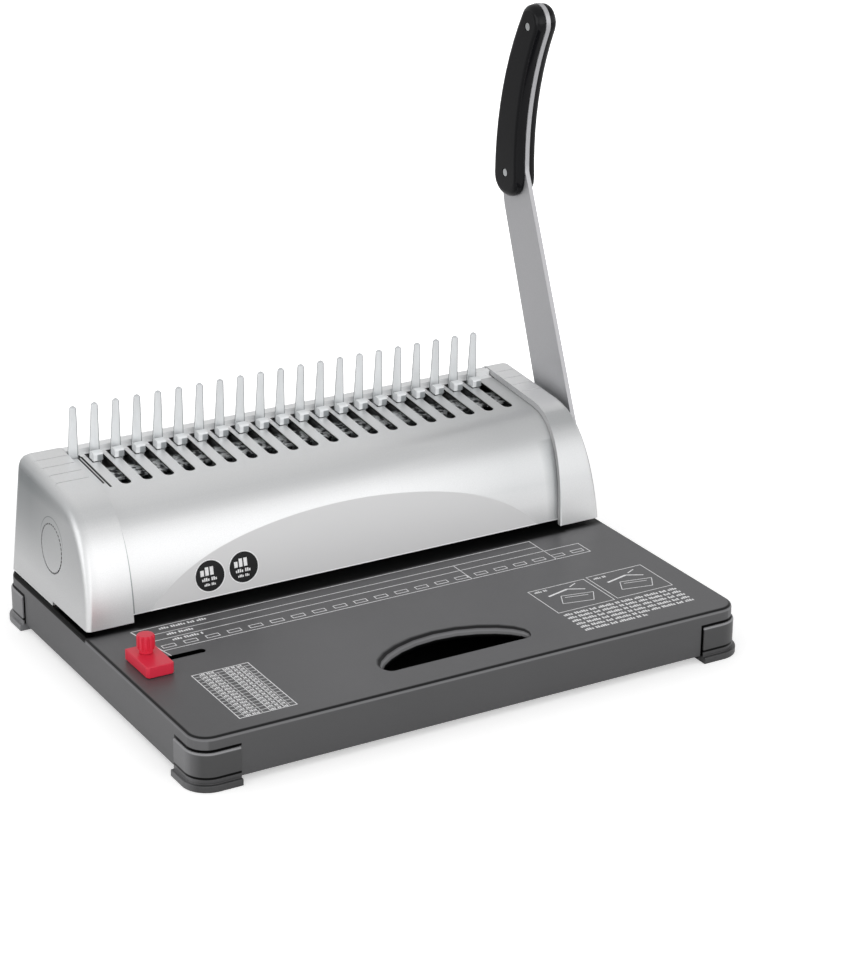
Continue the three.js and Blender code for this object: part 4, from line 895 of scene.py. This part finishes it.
class BINDER_OT_housing(Operator):
    """Dress the curved cover and the two end caps"""

    bl_idname = "binder.housing"
    bl_label = "Housing"

    def execute(self, context):
        edges = settings("edge_sizes")
        soften("housing_cover", "cover", edges.steel)
        soften("end_cap_left", "cap", edges.steel)
        self.edge_right_cap(soften("end_cap_right", "cap", edges.shell))
        return {"FINISHED"}

    def edge_right_cap(self, cap):
        """Gives the right cap's inner step painted shade and the edge above it a painted
        highlight.
        """
        step, crest = 1, 2
        flat_to_left, rounded_to_left = -0.93, -0.25
        cap.data.materials.append(FINISHES["cap_step"])
        cap.data.materials.append(FINISHES["cap_crest"])
        for face in cap.data.polygons:
            if face.center.z < RIGHT_CREST_TOP_Z:
                if face.normal.x < flat_to_left:
                    face.material_index = step
                elif face.normal.x < rounded_to_left and face.center.x < RIGHT_STEP_X:
                    face.material_index = crest


class BINDER_OT_comb_deck(Operator):
    """Dress the comb, the hooks and their drive"""

    bl_idname = "binder.comb_deck"
    bl_label = "Comb deck"

    def execute(self, context):
        edges = settings("edge_sizes")
        soften("finger_comb", "comb", edges.steel)
        soften("hook_plate", "hook", edges.steel)
        paint_part("hook_spring", "spring")
        soften("comb_crank", "dark", edges.steel)
        soften("drive_dog", "dark", edges.steel)
        return {"FINISHED"}


class BINDER_OT_punch_set(Operator):
    """Dress the frames, the die, the punches and their springs"""

    bl_idname = "binder.punch_set"
    bl_label = "Punch set"

    def execute(self, context):
        edges = settings("edge_sizes")
        for part in ("side_frame_left", "side_frame_right", "die_plate", "punch_guide",
                     "punch_bar", "cam_left", "cam_right", "paper_stop"):
            soften(part, "dark", edges.steel)
        for i in range(FINGERS):
            paint_part(f"punch_{i + 1:02d}", "bright")
        for part in ("tie_rod", "lever_shaft"):
            soften(part, "bright", edges.steel)
        for part in ("bush_left", "bush_right"):
            soften(part, "bronze", edges.steel)
        for part in ("punch_spring_left", "punch_spring_right"):
            paint_part(part, "spring")
        return {"FINISHED"}


class BINDER_OT_lever(Operator):
    """Dress the lever bar, its grip and its fasteners"""

    bl_idname = "binder.lever"
    bl_label = "Lever"

    def execute(self, context):
        edges = settings("edge_sizes")
        soften("lever_bar", "lever", edges.steel)
        soften("grip_inner", "grip", edges.grip)
        soften("grip_outer", "grip", edges.grip)
        for part in ("grip_screw_lower", "grip_screw_upper", "lever_cap_nut"):
            soften(part, "bright", edges.steel)
        return {"FINISHED"}


class BINDER_OT_edge_guide(Operator):
    """Dress the red edge guide, its knob and its clamp"""

    bl_idname = "binder.edge_guide"
    bl_label = "Edge guide"

    def execute(self, context):
        edges = settings("edge_sizes")
        soften("edge_guide", "red", edges.guide)
        soften("guide_knob", "red", edges.steel)
        soften("guide_clamp", "pan", edges.steel)
        return {"FINISHED"}


class BINDER_OT_prints(Operator):
    """Print the ruler, the table and the picture boxes on the base"""

    bl_idname = "binder.prints"
    bl_label = "Prints"

    def execute(self, context):
        sizes = settings("print_sizes")
        for name, draw, line in (
            ("ruler_print", self.ruler, sizes.line),
            ("table_print", self.table, sizes.fine_line),
            ("picture_print", self.pictures, sizes.line),
        ):
            shape = bmesh.new()
            draw(shape, line)
            bmesh.ops.translate(shape, verts=shape.verts, vec=(0, 0, BASE_TOP_Z))
            thicken(shape, (0, 0, sizes.thickness))
            finish_piece(shape, name, "ink", "frame", "cap_silver")
        return {"FINISHED"}

    def ruler(self, shape, line):
        """Four long lines, 21 slot outlines above the first, and small print at the left."""
        left, right, short, stop = -0.1516, 0.1468, 0.1211, 0.0589
        front, second, third, back = -0.0261, -0.0115, -0.0033, 0.0063
        for y, end in ((front, right), (second, right), (third, short), (back, short)):
            print_bar(shape, left - (y - front) * 0.185, end, y, y + line)
        print_stroke(shape, (-0.1578, 0.0066), (-0.1503, -0.0340), line * 1.5)
        print_bar(shape, right, right + line, front, second + line)
        print_bar(shape, short, short + line, front, back + line)
        print_bar(shape, stop, stop + line, front, third)
        slot_half, slot_front, slot_back = 0.0044, -0.0230, -0.0190
        for i in range(FINGERS):
            centre = SLOT_CENTRE_X + i * PITCH
            print_box(shape, centre - slot_half, centre + slot_half, slot_front, slot_back, line)
        for x0, x1, y in (
            (-0.1411, -0.1095, 0.0016), (-0.1402, -0.1218, -0.0075), (-0.1404, -0.1200, -0.0158),
        ):
            print_blocks(shape, x0, x1, y, 0.0026)

    def table(self, shape, line):
        """A table of 16 rows and three columns, filled with small blocks."""
        left, right, low, high = -0.1520, -0.1154, -0.1260, -0.0638
        rows = 16
        pitch = (high - low) / rows
        print_box(shape, left, right, low, high, line * 1.6)
        for x in (-0.1325, -0.1237):
            print_bar(shape, x, x + line * 1.5, low, high)
        for x in (-0.1482, -0.1370, -0.1199):
            print_bar(shape, x, x + line * 0.8, low, high - pitch)
        for i in range(rows):
            y = low + i * pitch
            if i:
                print_bar(shape, left, right, y, y + line * 0.9)
            for x0, x1 in ((-0.1474, -0.1378), (-0.1316, -0.1242), (-0.1228, -0.1204)):
                print_blocks(shape, x0, x1, y + 0.0010, 0.0019, (3, 5, 2))

    def pictures(self, shape, line):
        """Two picture boxes with plain line shapes, and rows of small print below them."""
        left_box, right_box = 0.0782, 0.1215
        print_box(shape, left_box, 0.1193, -0.0955, -0.0601, line)
        print_box(shape, right_box, 0.1627, -0.0948, -0.0590, line)
        for x in (left_box, right_box):
            for start_x, start_y, end_x, end_y, width in PICTURE_STROKES:
                print_stroke(shape, (x + start_x, start_y), (x + end_x, end_y), line * width)
            print_blocks(shape, x + 0.003, x + 0.013, -0.0645, 0.0022)
        rows, last_row_end, row_end = 6, 0.1245, 0.1626
        for i in range(rows):
            end = last_row_end if i == rows - 1 else row_end
            print_blocks(shape, 0.0792, end, -0.1011 - i * 0.00465, 0.0026)


class BINDER_OT_badges(Operator):
    """Put two round stickers with a rim and plain blocks on the cover's front"""

    bl_idname = "binder.badges"
    bl_label = "Badges"

    def execute(self, context):
        radius = settings("print_sizes").badge_radius
        cover = bmesh.new()
        cover.from_mesh(parts["housing_cover"].data)
        surface = BVHTree.FromBMesh(cover)
        cover.free()
        for name, x, z in BADGES:
            at, facing, _, _ = surface.ray_cast((x, IN_FRONT_Y, z), (0, 1, 0))
            if at is None:
                raise RuntimeError("there is no cover behind the badge")
            place = Matrix.Translation(at) @ facing.to_track_quat("Z", "Y").to_matrix().to_4x4()
            film = self.disc(radius)
            self.lay(film, surface, place, facing, BADGE_FILM)
            finish_piece(film, name, "badge", "frame", "black_plastic")
            marks = self.disc(radius)
            disc = marks.faces[:]
            bmesh.ops.inset_region(marks, faces=disc, thickness=BADGE_RIM, use_boundary=True)
            bmesh.ops.delete(marks, geom=disc, context="FACES")
            print_blocks(marks, -0.0062, 0.0068, 0.0005, 0.0052, (3, 4))
            print_blocks(marks, -0.0055, 0.0058, -0.0029, 0.0021)
            print_blocks(marks, -0.0042, 0.0044, -0.0060, 0.0016)
            self.lay(marks, surface, place, facing, BADGE_MARKS)
            finish_piece(marks, name + "_marks", "ink", "frame", "cap_silver")
        return {"FINISHED"}

    def disc(self, radius):
        """A flat round shape."""
        shape = bmesh.new()
        bmesh.ops.create_circle(shape, cap_ends=True, segments=BADGE_CORNERS, radius=radius)
        return shape

    def lay(self, shape, surface, place, facing, height):
        """Bends a flat shape onto the cover's curve and gives it its height."""
        half = BADGE_STRIPS // 2
        strip = settings("print_sizes").badge_radius / half
        for i in range(1 - half, half):
            whole = shape.verts[:] + shape.edges[:] + shape.faces[:]
            bmesh.ops.bisect_plane(
                shape, geom=whole, plane_co=(0, i * strip, 0), plane_no=(0, 1, 0)
            )
        bmesh.ops.transform(shape, matrix=place, verts=shape.verts)
        for vert in shape.verts:
            at = surface.ray_cast(vert.co + facing * CLEAR_OF_COVER, -facing)[0]
            vert.co = at or vert.co
        thicken(shape, facing * height)


class BINDER_OT_stage(Operator):
    """Set up the floor, the lamps and the camera"""

    bl_idname = "binder.stage"
    bl_label = "Stage"

    def execute(self, context):
        stage = settings("stage_setup")
        self.camera(stage)
        self.floor()
        self.sky(stage)
        self.lamp("front_lamp", stage.front, 1.4, (-0.3, -1.7, 0.45))
        self.lamp("side_lamp", stage.side, 1.0, (-1.4, 0.1, 0.5))
        context.scene.view_settings.view_transform = "Standard"
        return {"FINISHED"}

    def camera(self, stage):
        """Stands the camera where the photograph was taken."""
        a, e = stage.azimuth, stage.elevation
        back = Vector((math.sin(a) * math.cos(e), -math.cos(a) * math.cos(e), math.sin(e)))
        lens = bpy.data.cameras.new("camera")
        lens.lens = CAMERA_LENS
        lens.sensor_width = CAMERA_SENSOR
        lens.clip_start, lens.clip_end = 0.05, 50
        camera = bpy.data.objects.new("camera", lens)
        camera.rotation_mode = "QUATERNION"
        turn = (-back).to_track_quat("-Z", "Y")
        camera.rotation_quaternion = turn @ Quaternion((0, 0, 1), stage.roll)
        camera.location = CAMERA_PLACE
        bpy.context.scene.collection.objects.link(camera)
        bpy.context.scene.camera = camera

    def floor(self):
        """A pale floor that keeps the shadow and fades to white for the camera."""
        shape = bmesh.new()
        bmesh.ops.create_grid(shape, x_segments=1, y_segments=1, size=FLOOR_HALF_WIDTH)
        mesh = bpy.data.meshes.new("floor")
        shape.to_mesh(mesh)
        shape.free()
        paint = Finish("floor_paint")
        x, y, _ = paint.place()
        far = reach(x, y).above(0.32, 0.16)
        white = paint.blend(paint.ray_is("Camera") * (far * 0.58 + 0.42), (0, 0, 0), (1, 1, 1))
        # Painted reflection: darker floor for glossy rays at the back left, mirrored dark in the
        # left cap's side
        back_left = x.below(-0.35, 0.25) * y.above(-0.05, 0.15) * paint.ray_is("Glossy")
        paint.shade(
            Base_Color=paint.blend(back_left, (0.86, 0.86, 0.86), (0.5, 0.5, 0.5)),
            Roughness=0.9,
            Specular_IOR_Level=0.1,
            Emission_Color=white,
            Emission_Strength=1,
        )
        mesh.materials.append(paint.material)
        floor = bpy.data.objects.new("floor", mesh)
        bpy.context.scene.collection.objects.link(floor)

    def sky(self, stage):
        """Light walls under a dim ceiling, white to the camera.

        The back left corner is darker, and the ceiling dims to the right.
        """
        world = bpy.data.worlds.new("studio")
        world.use_nodes = True
        bpy.context.scene.world = world
        room = Recipe(world.node_tree)
        x, y, z = room.place("Generated")
        upper = (z + y * 0.5).above(0.16, 0.28)
        corner = (y - x).above(0.7, 0.5)
        walls = (y * -0.15 + x * 0.05 + 0.95 - corner * 0.65) * stage.horizon
        ceiling = (1 - x.above(0.36, 0.20) * 0.28) * stage.ceiling
        shine = walls * (1 - upper) + upper * ceiling
        seen = room.ray_is("Camera")
        back = room.tree.nodes["Background"]
        room.feed(back.inputs["Color"], (1, 1, 1))
        room.feed(back.inputs["Strength"], shine * (1 - seen) + seen)

    def lamp(self, name, power, size, at):
        """A square soft lamp aimed at the machine."""
        light = bpy.data.lights.new(name, "AREA")
        light.energy = power
        light.size = size
        lamp = bpy.data.objects.new(name, light)
        lamp.location = at
        lamp.rotation_mode = "QUATERNION"
        aim = Vector(LAMP_TARGET) - Vector(at)
        lamp.rotation_quaternion = aim.to_track_quat("-Z", "Y")
        bpy.context.scene.collection.objects.link(lamp)


OPERATORS = (
    BINDER_OT_finishes, BINDER_OT_base, BINDER_OT_housing, BINDER_OT_comb_deck,
    BINDER_OT_punch_set, BINDER_OT_lever, BINDER_OT_edge_guide, BINDER_OT_prints,
    BINDER_OT_badges, BINDER_OT_stage,
)
GROUPS = {
    "finish_tones": FinishSettings,
    "edge_sizes": EdgeSettings,
    "print_sizes": PrintSettings,
    "stage_setup": StageSettings,
}


class BINDER_PT_panel(Panel):
    """The sidebar panel that lists the settings and the steps"""

    bl_idname = "BINDER_PT_panel"
    bl_label = "Comb binder"
    bl_space_type = "VIEW_3D"
    bl_region_type = "UI"
    bl_category = "Comb binder"

    def draw(self, context):
        for name, group in GROUPS.items():
            box = self.layout.box()
            for setting in group.__annotations__:
                box.prop(getattr(context.scene, name), setting)
        for operator in OPERATORS:
            self.layout.operator(operator.bl_idname)


def register():
    """Registers the classes and hangs the settings on the scene."""
    for group in (*GROUPS.values(), *OPERATORS, BINDER_PT_panel):
        bpy.utils.register_class(group)
    for name, group in GROUPS.items():
        setattr(bpy.types.Scene, name, PointerProperty(type=group))


def unregister():
    """Takes the settings and the classes away again."""
    for name in GROUPS:
        delattr(bpy.types.Scene, name)
    for group in reversed((*GROUPS.values(), *OPERATORS, BINDER_PT_panel)):
        bpy.utils.unregister_class(group)


def main():
    """Runs every step."""
    register()
    for operator in OPERATORS:
        group, step = operator.bl_idname.split(".")
        getattr(getattr(bpy.ops, group), step)()


if __name__ == "__main__":
    main()
